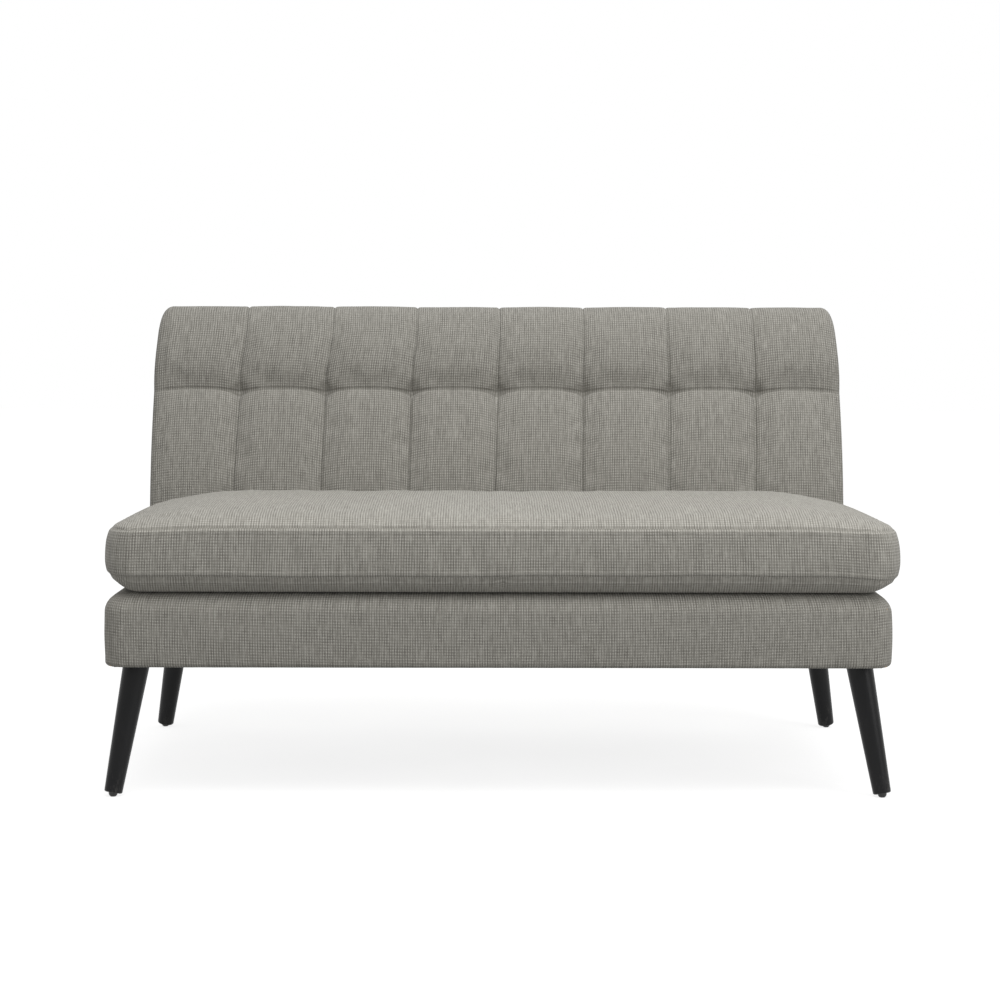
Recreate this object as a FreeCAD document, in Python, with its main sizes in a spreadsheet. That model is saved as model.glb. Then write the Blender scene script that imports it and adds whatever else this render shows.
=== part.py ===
import FreeCAD, Part
import math
import os
import re
import Sketcher

# Armless two-seat sofa on four splayed legs: a timber seat base with springs, a reclined
# tufted back bolted on top of it, and one loose bench cushion with a zip along its rear.
# X runs along the sofa, the front faces -Y, the floor is Z = 0, all sizes in millimetres.

doc = FreeCAD.newDocument("armless_sofa")
sheet = doc.addObject("Spreadsheet::Sheet", "dims")

DIMENSIONS = {
    "base_half": 645,
    "base_front": -385,
    "base_rear": 330,
    "base_low": 218,
    "base_top": 340,
    "base_corner": 28,
    "base_edge": 18,
    "cloth": 1.5,
    "padding": 9.5,
    "rail_thick": 24,
    "rail_top": 316,
    "spring_rail_front": 150,
    "stretcher_top": 290,
    "block_size": 90,
    "block_height": 60,
    "hem": 30,
    "deck_border": 60,
    "deck_rear": 165,
    "felt_low": 324,
    "felt_thick": 3,
    "spring_count": 8,
    "spring_spacing": 150,
    "spring_wire": 3.8,
    "spring_width": 36,
    "spring_turns": 24,
    "clip_wide": 22,
    "clip_steel": 1.3,
    "tie_wire": 2,
    "foot_half": 634,
    "foot_front": -350,
    "foot_rear": 320,
    "foot_gap": 6,
    "leg_splay": 37,
    "leg_top_radius": 22.3,
    "leg_foot_radius": 15,
    "leg_foot_round": 3,
    "glide_radius": 7.5,
    "glide_stem": 2.5,
    "plate_size": 60,
    "plate_thick": 3,
    "screw_spacing": 44,
    "screw_radius": 2,
    "screw_length": 18,
    "bolt_radius": 4,
    "hanger_in_leg": 40,
    "hanger_in_block": 22,
    "back_rear_low": 328,
    "back_rear_slope": 0.1537,
    "frame_front": 224,
    "bend_height": 420,
    "front_slope": 0.337,
    "frame_top": 762,
    "side_frame_inner": 613,
    "side_frame_thick": 18,
    "rib_offset": 205,
    "foam_thick": 28,
    "foam_cap": 8,
    "seam_spacing": 161,
    "tuft_height": 646,
    "quilt_half": 643,
    "quilt_front": 176,
    "quilt_low": 341,
    "row_front": 247,
    "top_front": 291,
    "top_edge_height": 776,
    "back_top": 803,
    "side_round": 22,
    "side_sink": 14,
    "corner_drop": 26,
    "rear_corner_gap": 6,
    "seam_sink": 5,
    "tuft_sink": 19,
    "panel_swell": 11,
    "side_pad_outer": 644,
    "tuft_tie_radius": 1.2,
    "toggle_radius": 9,
    "toggle_thick": 3,
    "strap_wide": 50,
    "strap_thick": 1.2,
    "board_gap": 5,
    "board_thick": 3,
    "bottom_rail_thick": 22,
    "back_bolt_line": 272,
    "back_bolt_inner": 180,
    "back_bolt_outer": 560,
    "cushion_half": 649,
    "cushion_front": -392.5,
    "cushion_rear": 163,
    "cushion_low": 340.3,
    "seam_low": 368,
    "seam_high": 448,
    "crown_top": 486,
    "crown_shoulder": 473,
    "cushion_corner": 36,
    "plateau_half": 440,
    "core_half": 596,
    "core_front": -350,
    "core_rear": 124,
    "core_low": 352,
    "core_top": 446,
    "zip_half": 560,
    "zip_height": 408,
    "zip_tape": 25,
    "zip_coil": 5,
    "zip_coil_thick": 2,
    "slider_long": 14,
    "slider_wide": 9,
    "slider_gap": 0.3,
    "slider_wall": 1.6,
    "slider_start": 8,
    "zip_slot_depth": 8,
    "overshoot": 5,
    "edge_gap": 1,
    "leg_clearance": 90,
    "block_clearance": 60,
    "floor_depth": 30,
    "glide_depth": 12.5,
    "screw_bite": 36,
    "screw_edge": 30,
    "clip_gap": 0.4,
    "clip_tail": 7,
    "spring_overlap": 8,
    "felt_gap": 0.1,
    "tie_front": 190,
    "tie_rear": 370,
    "tie_inset": 30,
    "bolt_head_radius": 6.4,
    "bolt_head_high": 5,
    "bolt_head_drop": 6.5,
    "bolt_tail": 8,
    "washer_radius": 10,
    "washer_thick": 1.5,
    "nut_barrel_radius": 5.5,
    "nut_barrel_long": 12,
    "nut_flange_radius": 9.6,
    "tuft_rail_half": 32,
    "tuft_rail_thick": 22,
    "top_rail_height": 24,
    "bottom_screw_front": 80,
    "bottom_screw_rear": 24,
    "tuft_screw_offset": 18,
    "top_screw_depth": 14,
    "twine_gap": 0.6,
    "twine_tail": 6,
    "toggle_gap": 5.5,
    "strap_inset": 4,
    "foam_gap": 2,
    "foam_shoulder": 6,
    "cap_run": 17,
    "cap_gap": 0.5,
    "notch_depth": 15,
    "board_overhang": 4,
    "side_gap": 0.3,
    "side_rear_gap": 0.4,
    "side_shoulder": 7,
    "side_fillet": 6,
    "wadding_gap": 0.5,
    "wadding_rear": 4,
    "panel_pit": 3,
    "shoulder_sink": 1,
    "shoulder_pit": 4,
    "band_bulge": 2.5,
    "underside_tuck": 24,
    "shoulder_run": 46,
    "shoulder_bow": 13,
    "end_pull": 2,
    "wrap_gap": 0.6,
}

for row, (alias, size) in enumerate(DIMENSIONS.items(), start=1):
    sheet.set("A%d" % row, alias)
    sheet.set("B%d" % row, str(size))
    sheet.setAlias("B%d" % row, alias)
doc.recompute()

# Heights of the webbing straps on the back frame
STRAP_HEIGHTS = (440, 505, 570, 700)
# How far a leg runs on past the base before it is cut level, as a ratio
LEG_OVERRUN = 1.06
# The back's arcs: how a panel's swell lifts its arcs, and what is left of it at a seam or an end
LOWER_LIFT = 0.3
UPPER_SWELL = 0.8
UPPER_LIFT = 0.25
CROWN_SINK = 0.6
SEAM_SWELL = 0.45
END_SWELL = 0.8
# The cushion's arcs as shares of their run and rise, and the crown left along an end
TUCK_RUN = 0.28
TUCK_RISE = 0.32
SHOULDER_RISE = 0.62
MIDDLE_CROWN = 0.88
END_CROWN = 0.52
END_FALL = 0.38
END_STEPS = 4

NODES = []


def formula(text):
    """The text as an expression, each bare word in it read from the sheet."""
    return re.sub(r"\b([a-z][a-z_]+)\b(?!\()", r"dims.\1", str(text))


def value(text):
    """The number that a formula gives now."""
    found = sheet.evalExpression(formula(text))
    return float(getattr(found, "Value", found))


def node(obj, name):
    """Name an object as one sub-part of the sofa."""
    obj.Label = name
    NODES.append(obj)
    return obj


def board(name, x, y, z):
    """A plain box from three pairs of formulas."""
    box = doc.addObject("Part::Box", name)
    box.setExpression("Length", formula("(%s) - (%s)" % (x[1], x[0])))
    box.setExpression("Width", formula("(%s) - (%s)" % (y[1], y[0])))
    box.setExpression("Height", formula("(%s) - (%s)" % (z[1], z[0])))
    box.setExpression("Placement.Base.x", formula(x[0]))
    box.setExpression("Placement.Base.y", formula(y[0]))
    box.setExpression("Placement.Base.z", formula(z[0]))
    return box


def rod(name, radius, length, x, y, z, axis=(0, 0, 1)):
    """A plain cylinder that starts at a point and runs along an axis."""
    cylinder = doc.addObject("Part::Cylinder", name)
    cylinder.setExpression("Radius", formula(radius))
    cylinder.setExpression("Height", formula(length))
    turn = FreeCAD.Rotation(FreeCAD.Vector(0, 0, 1), FreeCAD.Vector(*axis))
    cylinder.Placement = FreeCAD.Placement(FreeCAD.Vector(0, 0, 0), turn)
    cylinder.setExpression("Placement.Base.x", formula(x))
    cylinder.setExpression("Placement.Base.y", formula(y))
    cylinder.setExpression("Placement.Base.z", formula(z))
    return cylinder


def cut(name, base, *tools):
    """The base with every tool taken out of it."""
    result = doc.addObject("Part::Cut", name)
    result.Base = base
    result.Tool = tools[0] if len(tools) == 1 else group(name + "_tools", tools)
    return result


def common(name, first, second):
    """What two shapes share."""
    result = doc.addObject("Part::Common", name)
    result.Base = first
    result.Tool = second
    return result


def fuse(name, parts):
    """Several shapes joined into one."""
    result = doc.addObject("Part::MultiFuse", name)
    result.Shapes = list(parts)
    return result


def group(name, parts):
    """Several separate solids kept together."""
    result = doc.addObject("Part::Compound", name)
    result.Links = list(parts)
    return result


def body_plane(body, role):
    """One origin plane of a body, found by its role."""
    for feature in body.Origin.OriginFeatures:
        if feature.Role == role:
            return feature
    raise ValueError(role)


def outline(body, name, role, points, offset="0"):
    """A closed sketch: each point may carry the point that the arc after it passes through."""
    sketch = body.newObject("Sketcher::SketchObject", name)
    sketch.AttachmentSupport = (body_plane(body, role), [""])
    sketch.MapMode = "FlatFace"
    sketch.AttachmentOffset = FreeCAD.Placement(FreeCAD.Vector(0, 0, value(offset)), FreeCAD.Rotation())
    sketch.setExpression("AttachmentOffset.Base.z", formula(offset))
    spots = [FreeCAD.Vector(value(p[0]), value(p[1]), 0) for p in points]
    count = len(points)
    ends = []
    for i, point in enumerate(points):
        start, end = spots[i], spots[(i + 1) % count]
        if len(point) == 4:
            middle = FreeCAD.Vector(value(point[2]), value(point[3]), 0)
            leftward = (middle - start).cross(end - middle).z > 0
            arc = Part.Arc(start, middle, end) if leftward else Part.Arc(end, middle, start)
            sketch.addGeometry(arc, False)
            ends.append((1, 2) if leftward else (2, 1))
        else:
            sketch.addGeometry(Part.LineSegment(start, end), False)
            ends.append((1, 2))
    for i in range(count):
        follower = (i + 1) % count
        sketch.addConstraint(Sketcher.Constraint("Coincident", i, ends[i][1], follower, ends[follower][0]))
    for i, point in enumerate(points):
        pin(sketch, i, ends[i][0], point[0], point[1])
        if len(point) == 4:
            through = FreeCAD.Vector(value(point[2]), value(point[3]), 0)
            index = sketch.addGeometry(Part.Point(through), True)
            sketch.addConstraint(Sketcher.Constraint("PointOnObject", index, 1, i))
            pin(sketch, index, 1, point[2], point[3])
    return sketch


def pin(sketch, geometry, end, across, up):
    """Hold one sketch point at two formulas measured from the sketch's origin."""
    for kind, text in (("DistanceX", across), ("DistanceY", up)):
        number = sketch.addConstraint(Sketcher.Constraint(kind, -1, 1, geometry, end, value(text)))
        sketch.setExpression("Constraints[%d]" % number, formula(text))


def slab(name, role, points, thick, offset="0", both_ways=False):
    """A body padded from one outline on an origin plane."""
    body = doc.addObject("PartDesign::Body", name)
    sketch = outline(body, name + "_outline", role, points, offset)
    pad = body.newObject("PartDesign::Pad", name + "_pad")
    pad.Profile = sketch
    pad.Midplane = both_ways
    pad.setExpression("Length", formula(thick))
    return body


def rounded_rectangle(half, front, rear, corner):
    """Outline points of a rectangle in plan with round corners."""
    right, left = "(%s)" % half, "(0 - (%s))" % half
    shoulder, far = "((%s) - (%s))" % (half, corner), "((%s) - (%s))" % (corner, half)
    fore, aft = "((%s) + (%s))" % (front, corner), "((%s) - (%s))" % (rear, corner)
    bow = "(%s) * (1 - sqrt(0.5))" % corner
    low, high = "(%s) + %s" % (front, bow), "(%s) - %s" % (rear, bow)
    return [
        (shoulder, front, "%s - %s" % (right, bow), low),
        (right, fore),
        (right, aft, "%s - %s" % (right, bow), high),
        (shoulder, rear),
        (far, rear, "%s + %s" % (left, bow), high),
        (left, aft),
        (left, fore, "%s + %s" % (left, bow), low),
        (far, front),
    ]


def rounded_block(name, inset, low, high):
    """The seat base's outer form, inset all round, with its top edge rounded over."""
    points = rounded_rectangle(
        "base_half - %s" % inset,
        "base_front + %s" % inset,
        "base_rear - %s" % inset,
        "base_corner - %s" % inset,
    )
    body = slab(name, "XY_Plane", points, "(%s) - (%s)" % (high, low), low)
    doc.recompute()
    pad = body.Tip
    top = pad.Shape.BoundBox.ZMax
    names = []
    for number, edge in enumerate(pad.Shape.Edges, start=1):
        if abs(edge.BoundBox.ZMin - top) < 1e-6:
            names.append("Edge%d" % number)
    fillet = body.newObject("PartDesign::Fillet", name + "_edge")
    fillet.Base = (pad, names)
    fillet.setExpression("Radius", formula("base_edge - %s" % inset))
    return body


def both_sides(half):
    """The pair of formulas that spans as far to the left as to the right."""
    return "0 - (%s)" % half, half


# Places that several pieces of the base share
RAIL_HALF = "base_half - cloth - padding"
RAIL_FRONT = "base_front + cloth + padding"
RAIL_REAR = "base_rear - cloth - padding"
RAIL_LOW = "base_low + cloth"
RAIL_INNER = "(%s - rail_thick)" % RAIL_HALF
FRONT_INNER = "(%s + rail_thick)" % RAIL_FRONT
REAR_INNER = "(%s - rail_thick)" % RAIL_REAR
SPRING_RAIL_REAR = "(spring_rail_front + rail_thick)"
COVER_INNER_TOP = "(base_top - cloth)"
DECK_HALF = "(base_half - base_edge - edge_gap)"
DECK_FRONT = "(base_front + base_edge + edge_gap)"
BOARD_REAR = "(base_rear - base_edge - edge_gap)"
BACK_OUTER = "(side_frame_inner + side_frame_thick)"


def foot_points():
    """The four feet: name, X formula, Y formula and the outward signs."""
    return [
        ("front_left", "0 - foot_half", "foot_front", -1, -1),
        ("front_right", "foot_half", "foot_front", 1, -1),
        ("rear_left", "0 - foot_half", "foot_rear", -1, 1),
        ("rear_right", "foot_half", "foot_rear", 1, 1),
    ]


def leg_rotation(side, end):
    """The turn that takes upright to the line from a foot up to the base."""
    rise = value("base_low")
    lean = value("leg_splay")
    return FreeCAD.Rotation(FreeCAD.Vector(0, 0, 1), FreeCAD.Vector(-side * lean, -end * lean, rise))


def place_on_leg(obj, x, y, side, end):
    """Stand an object on a foot, leaning with the leg."""
    obj.Placement = FreeCAD.Placement(FreeCAD.Vector(0, 0, 0), leg_rotation(side, end))
    obj.setExpression("Placement.Base.x", formula(x))
    obj.setExpression("Placement.Base.y", formula(y))
    obj.setExpression("Placement.Base.z", formula("foot_gap"))


def turned(name, points):
    """A body turned about its own upright axis from a half outline."""
    body = doc.addObject("PartDesign::Body", name)
    sketch = outline(body, name + "_outline", "XZ_Plane", points)
    turn = body.newObject("PartDesign::Revolution", name + "_turn")
    turn.Profile = sketch
    turn.ReferenceAxis = (sketch, ["V_Axis"])
    turn.Angle = 360
    return body


def make_leg_hardware():
    """Plates, screws and hanger bolts that hold the legs to the base."""
    screws, bolts, plates = [], [], []
    spacings = (-0.5, 0.5)
    for name, x, y, side, end in foot_points():
        top_x = "%s - (%d) * leg_splay" % (x, side)
        top_y = "%s - (%d) * leg_splay" % (y, end)
        for i in spacings:
            for j in spacings:
                screw = rod(
                    "screw_%s_%d_%d" % (name, i > 0, j > 0),
                    "screw_radius",
                    "plate_thick + screw_length",
                    "%s + %s * screw_spacing" % (top_x, i),
                    "%s + %s * screw_spacing" % (top_y, j),
                    "base_low - plate_thick",
                )
                screws.append(screw)
        bolt = doc.addObject("Part::Cylinder", "hanger_%s" % name)
        bolt.setExpression("Radius", formula("bolt_radius"))
        bolt.setExpression("Height", formula("hanger_in_leg + hanger_in_block"))
        place_on_leg(bolt, x, y, side, end)
        slope = "sqrt(base_low * base_low + 2 * leg_splay * leg_splay) / base_low"
        start = "((base_low - foot_gap) * %s - hanger_in_leg)" % slope
        reach = "%s / sqrt(base_low * base_low + 2 * leg_splay * leg_splay)" % start
        bolt.setExpression("Placement.Base.x", formula("%s - (%d) * leg_splay * %s" % (x, side, reach)))
        bolt.setExpression("Placement.Base.y", formula("%s - (%d) * leg_splay * %s" % (y, end, reach)))
        bolt.setExpression("Placement.Base.z", formula("foot_gap + base_low * %s" % reach))
        bolts.append(bolt)
        plate = board(
            "plate_%s" % name,
            ("%s - plate_size / 2" % top_x, "%s + plate_size / 2" % top_x),
            ("%s - plate_size / 2" % top_y, "%s + plate_size / 2" % top_y),
            ("base_low - plate_thick", "base_low"),
        )
        plates.append(plate)
    screw_group = node(group("leg_plate_screws", screws), "leg_plate_screws")
    bolt_group = node(group("leg_hanger_bolts", bolts), "leg_hanger_bolts")
    pierced = [cut("pierced_%s" % p.Name, p, screw_group, bolt_group) for p in plates]
    node(group("leg_plates", pierced), "leg_plates")
    return screw_group, bolt_group


def make_legs(bolts):
    """Four tapered turned legs, each cut level under its plate, and their floor glides."""
    rise = "(base_low - foot_gap) * %s" % LEG_OVERRUN
    foot_bow = "leg_foot_round * (1 - sqrt(0.5))"
    dome_bow = "glide_radius * sqrt(0.5)"
    glides = []
    for name, x, y, side, end in foot_points():
        leg_points = [
            ("0", "0"),
            ("leg_foot_radius - leg_foot_round", "0", "leg_foot_radius - " + foot_bow, foot_bow),
            ("leg_foot_radius", "leg_foot_round"),
            ("leg_top_radius", rise),
            ("0", rise),
        ]
        leg = turned("leg_%s_turned" % name, leg_points)
        place_on_leg(leg, x, y, side, end)
        above = board(
            "above_%s" % name,
            (x + " - leg_clearance", x + " + leg_clearance"),
            (y + " - leg_clearance", y + " + leg_clearance"),
            ("base_low - plate_thick", "base_low + block_clearance"),
        )
        glide_points = [
            ("0", "0 - glide_radius", dome_bow, "0 - " + dome_bow),
            ("glide_radius", "0"),
            ("glide_stem", "0"),
            ("glide_stem", "glide_depth"),
            ("0", "glide_depth"),
        ]
        dome = turned("glide_%s_turned" % name, glide_points)
        place_on_leg(dome, x, y, side, end)
        floor = board(
            "floor_%s" % name,
            (x + " - floor_depth", x + " + floor_depth"),
            (y + " - floor_depth", y + " + floor_depth"),
            ("0 - floor_depth", "0"),
        )
        glide = cut("glide_%s" % name, dome, floor)
        glides.append(glide)
        node(cut("leg_%s" % name, leg, above, bolts, glide), "leg_%s" % name)
    node(group("leg_glides", glides), "leg_glides")


def make_seat_frame(screws, bolts):
    """The timber frame of the base: rails, spring rail, stretcher, corner blocks."""
    tall = (RAIL_LOW, "rail_top")
    front = board("front_rail_board", both_sides(RAIL_HALF), (RAIL_FRONT, FRONT_INNER), tall)
    rear = board("rear_rail_board", both_sides(RAIL_HALF), (REAR_INNER, RAIL_REAR), tall)
    spring_deep = ("spring_rail_front", SPRING_RAIL_REAR)
    spring_rail = board("spring_rail_board", both_sides(RAIL_INNER), spring_deep, tall)
    fixings = make_frame_screws()
    node(cut("seat_front_rail", front, fixings), "seat_front_rail")
    node(cut("seat_rear_rail", rear, screws, fixings), "seat_rear_rail")
    node(cut("seat_spring_rail", spring_rail, fixings), "seat_spring_rail")
    side_spans = (("left", ("0 - (%s)" % RAIL_HALF, "0 - %s" % RAIL_INNER)), ("right", (RAIL_INNER, RAIL_HALF)))
    for name, x in side_spans:
        side = board("side_rail_%s" % name, x, (FRONT_INNER, REAR_INNER), tall)
        node(cut("seat_%s_rail" % name, side, screws, fixings), "seat_%s_rail" % name)
    stretcher = board(
        "stretcher_board",
        both_sides("rail_thick / 2"),
        (FRONT_INNER, "spring_rail_front"),
        (RAIL_LOW, "stretcher_top"),
    )
    node(cut("seat_centre_stretcher", stretcher, fixings), "seat_centre_stretcher")
    blocks = []
    for name, x, y, side, end in foot_points():
        far = RAIL_INNER if side > 0 else "(block_size - %s)" % RAIL_INNER
        near = REAR_INNER if end > 0 else "(%s + block_size)" % FRONT_INNER
        block = board(
            "block_%s" % name,
            ("%s - block_size" % far, far),
            ("%s - block_size" % near, near),
            (RAIL_LOW, "base_low + block_height"),
        )
        blocks.append(cut("bored_block_%s" % name, block, screws, bolts))
    node(group("leg_corner_blocks", blocks), "leg_corner_blocks")


def make_frame_screws():
    """Two long screws through each joint of the base frame."""
    length = "rail_thick + screw_bite"
    screws = []
    for row, height in enumerate(("base_low + screw_edge", "rail_top - screw_edge")):
        for side, name in ((-1, "left"), (1, "right")):
            x = "%d * (%s - rail_thick / 2)" % (side, RAIL_HALF)
            front = rod("front_%s_%d" % (name, row), "screw_radius", length, x, RAIL_FRONT, height, (0, 1, 0))
            rear = rod("rear_%s_%d" % (name, row), "screw_radius", length, x, RAIL_REAR, height, (0, -1, 0))
            screws += [front, rear]
            start = "%d * (%s)" % (side, RAIL_HALF)
            y = "spring_rail_front + rail_thick / 2"
            screw = rod("spring_%s_%d" % (name, row), "screw_radius", length, start, y, height, (-side, 0, 0))
            screws.append(screw)
    middle = "(base_low + stretcher_top) / 2"
    screws.append(rod("stretcher_front", "screw_radius", length, "0", RAIL_FRONT, middle, (0, 1, 0)))
    screws.append(rod("stretcher_rear", "screw_radius", length, "0", SPRING_RAIL_REAR, middle, (0, -1, 0)))
    return node(group("seat_frame_screws", screws), "seat_frame_screws")


def spring_row():
    """X of each spring, evenly spaced about the middle."""
    count = int(value("spring_count"))
    spacing = value("spring_spacing")
    return [spacing * (i - (count - 1) / 2) for i in range(count)]


def make_springs():
    """Sinuous wire springs from the front rail to the spring rail."""
    height = value("rail_top + clip_steel + spring_wire / 2 + clip_gap")
    start = value("%s - spring_overlap" % FRONT_INNER)
    end = value("spring_rail_front + spring_overlap")
    turns = int(value("spring_turns"))
    pitch = (end - start) / turns
    reach = value("spring_width / 2")
    edges = []
    for i in range(turns + 1):
        side = 1 if i % 2 == 0 else -1
        y = start + i * pitch
        edges.append(Part.makeLine((-side * reach, y, height), (side * reach, y, height)))
        if i < turns:
            bend = Part.Arc(
                FreeCAD.Vector(side * reach, y, height),
                FreeCAD.Vector(side * (reach + pitch / 2), y + pitch / 2, height),
                FreeCAD.Vector(side * reach, y + pitch, height),
            )
            edges.append(bend.toShape())
    path = Part.Wire(edges)
    beginning = FreeCAD.Vector(-reach, start, height)
    ring = Part.makeCircle(value("spring_wire / 2"), beginning, FreeCAD.Vector(1, 0, 0))
    wire = path.makePipeShell([Part.Wire(ring)], True, False)
    springs = []
    for x in spring_row():
        copy = wire.copy()
        copy.translate(FreeCAD.Vector(x, 0, 0))
        springs.append(copy)
    feature = doc.addObject("Part::Feature", "sinuous_springs")
    feature.Shape = Part.makeCompound(springs)
    feature.Placement = FreeCAD.Placement()
    node(feature, "sinuous_springs")


def make_clips(name, line, side):
    """A row of curled steel clips that hold one end of each spring on its rail."""
    outer = "(spring_wire / 2 + clip_gap + clip_steel)"
    inner = "(spring_wire / 2 + clip_gap)"
    low = "rail_top"
    centre = "(rail_top + %s)" % outer
    tail = "%s - (%d) * clip_tail" % (line, side)
    points = [
        (tail, low),
        (line, low, "%s + (%d) * %s" % (line, side, outer), centre),
        (line, "%s + %s" % (centre, outer)),
        (line, "%s + %s" % (centre, inner), "%s + (%d) * %s" % (line, side, inner), centre),
        (line, "%s - %s" % (centre, inner)),
        (tail, "%s - %s" % (centre, inner)),
    ]
    first = "0 - spring_spacing * (spring_count - 1) / 2 - clip_wide / 2"
    body = slab(name + "_clip", "YZ_Plane", points, "clip_wide", first)
    pattern = body.newObject("PartDesign::LinearPattern", name + "_row")
    pattern.Originals = [body.Tip]
    axis = [f for f in body.Origin.OriginFeatures if f.Role == "X_Axis"][0]
    pattern.Direction = (axis, [""])
    pattern.setExpression("Length", formula("spring_spacing * (spring_count - 1)"))
    pattern.Occurrences = int(value("spring_count"))
    body.Tip = pattern
    node(body, name)


def make_deck(back_fixings):
    """What lies on the springs: tie wires, felt, foam and the deck cloth."""
    wires = []
    height = "felt_low - tie_wire / 2 - felt_gap"
    start = "tie_inset - (%s)" % RAIL_HALF
    length = "2 * (%s - tie_inset)" % RAIL_HALF
    for i, y in enumerate(("base_front + tie_front", "base_front + tie_rear")):
        wires.append(rod("tie_wire_%d" % i, "tie_wire / 2", length, start, y, height, (1, 0, 0)))
    node(group("spring_tie_wires", wires), "spring_tie_wires")
    span = both_sides(DECK_HALF)
    deep = (DECK_FRONT, "deck_rear")
    felt_top = "felt_low + felt_thick"
    node(board("spring_felt", span, deep, ("felt_low", felt_top)), "spring_felt")
    node(board("deck_foam", span, deep, (felt_top, COVER_INNER_TOP)), "deck_foam")
    cloth_span = both_sides("base_half - deck_border")
    cloth_deep = ("base_front + deck_border", "deck_rear")
    node(board("deck_cloth", cloth_span, cloth_deep, (COVER_INNER_TOP, "base_top")), "deck_cloth")
    mount = board("mount_board", span, ("deck_rear + edge_gap", BOARD_REAR), ("rail_top", COVER_INNER_TOP))
    node(cut("back_mount_board", mount, *back_fixings), "back_mount_board")


def make_base_covers(screws, bolts, back_fixings):
    """Padding round the rails, the fabric over it and the dust cover below."""
    padding_form = rounded_block("padding_form", "cloth", RAIL_LOW, COVER_INNER_TOP)
    frame_space = board(
        "frame_space",
        both_sides(RAIL_HALF),
        (RAIL_FRONT, RAIL_REAR),
        ("base_low - overshoot", "rail_top"),
    )
    deck_space = board(
        "deck_space",
        both_sides(DECK_HALF),
        (DECK_FRONT, BOARD_REAR),
        ("rail_top - overshoot", "base_top"),
    )
    ring = cut("padding_ring", padding_form, frame_space, deck_space)
    wide = both_sides("base_half")
    deep = (DECK_FRONT, BOARD_REAR)
    tall = ("base_low", "base_top")
    pads = [
        common("front_pad", ring, board("front_zone", wide, ("base_front", DECK_FRONT), tall)),
        common("rear_pad", ring, board("rear_zone", wide, (BOARD_REAR, "base_rear"), tall)),
        common("left_pad", ring, board("left_zone", ("0 - base_half", "0"), deep, tall)),
        common("right_pad", ring, board("right_zone", ("0", "base_half"), deep, tall)),
    ]
    node(group("seat_base_padding", pads), "seat_base_padding")
    cover_form = rounded_block("cover_form", "0", "base_low", "base_top")
    under = board(
        "under_opening",
        both_sides("base_half - hem"),
        ("base_front + hem", "base_rear - hem"),
        ("base_low - overshoot", "base_low + overshoot"),
    )
    over = board(
        "deck_opening",
        both_sides("base_half - deck_border"),
        ("base_front + deck_border", "deck_rear"),
        ("base_top - overshoot", "base_top + overshoot"),
    )
    cover = cut("seat_base_cover", cover_form, padding_form, under, over, screws, bolts, *back_fixings)
    node(cover, "seat_base_cover")
    dust = board(
        "dust_cloth",
        both_sides("base_half - hem"),
        ("base_front + hem", "base_rear - hem"),
        ("base_low", RAIL_LOW),
    )
    node(cut("dust_cover", dust, screws, bolts), "dust_cover")


FOAM_FRONT = "(frame_front - foam_thick)"


def foam_line(height):
    """Y of the foam slab's front face at a height above the frame's bend."""
    return "(%s + (%s - bend_height) * front_slope)" % (FOAM_FRONT, height)


def frame_line(height):
    """Y of the back frame's front face at a height above its bend."""
    return "(frame_front + (%s - bend_height) * front_slope)" % height


def rear_line(height, inward="0"):
    """Y of the back's rear face at a height, moved inward."""
    return "(back_rear_low + (%s - base_top) * back_rear_slope - (%s))" % (height, inward)


def frame_profile():
    """Side view of the back frame."""
    return [
        ("frame_front", "base_top"),
        ("frame_front", "bend_height"),
        (frame_line("frame_top"), "frame_top"),
        (rear_line("frame_top", "board_gap"), "frame_top"),
        (rear_line("base_top", "board_gap"), "base_top"),
    ]


def make_back_fixings():
    """Bolts, washers and tee nuts that hold the back down on the base."""
    bolts, washers, nuts = [], [], []
    line = "back_bolt_line"
    head_low = "rail_top - bolt_head_drop"
    nut_top = "(base_top + bottom_rail_thick)"
    shank_long = "%s - (%s) + bolt_tail" % (nut_top, head_low)
    barrel_low = "%s - nut_barrel_long" % nut_top
    places = ("0 - back_bolt_outer", "0 - back_bolt_inner", "back_bolt_inner", "back_bolt_outer")
    for i, x in enumerate(places):
        head = rod("bolt_head_%d" % i, "bolt_head_radius", "bolt_head_high", x, line, head_low)
        shank = rod("bolt_shank_%d" % i, "bolt_radius", shank_long, x, line, head_low)
        bolts.append(fuse("back_bolt_%d" % i, [head, shank]))
        disc = rod("washer_disc_%d" % i, "washer_radius", "washer_thick", x, line, "rail_top - washer_thick")
        washers.append(cut("washer_%d" % i, disc, shank))
        barrel = rod("nut_barrel_%d" % i, "nut_barrel_radius", "nut_barrel_long", x, line, barrel_low)
        flange = rod("nut_flange_%d" % i, "nut_flange_radius", "washer_thick", x, line, nut_top)
        nuts.append(cut("nut_%d" % i, fuse("nut_solid_%d" % i, [barrel, flange]), shank))
    bolt_group = node(group("back_bolts", bolts), "back_bolts")
    node(group("back_bolt_washers", washers), "back_bolt_washers")
    nut_group = node(group("back_tee_nuts", nuts), "back_tee_nuts")
    return [bolt_group, nut_group]


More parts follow.
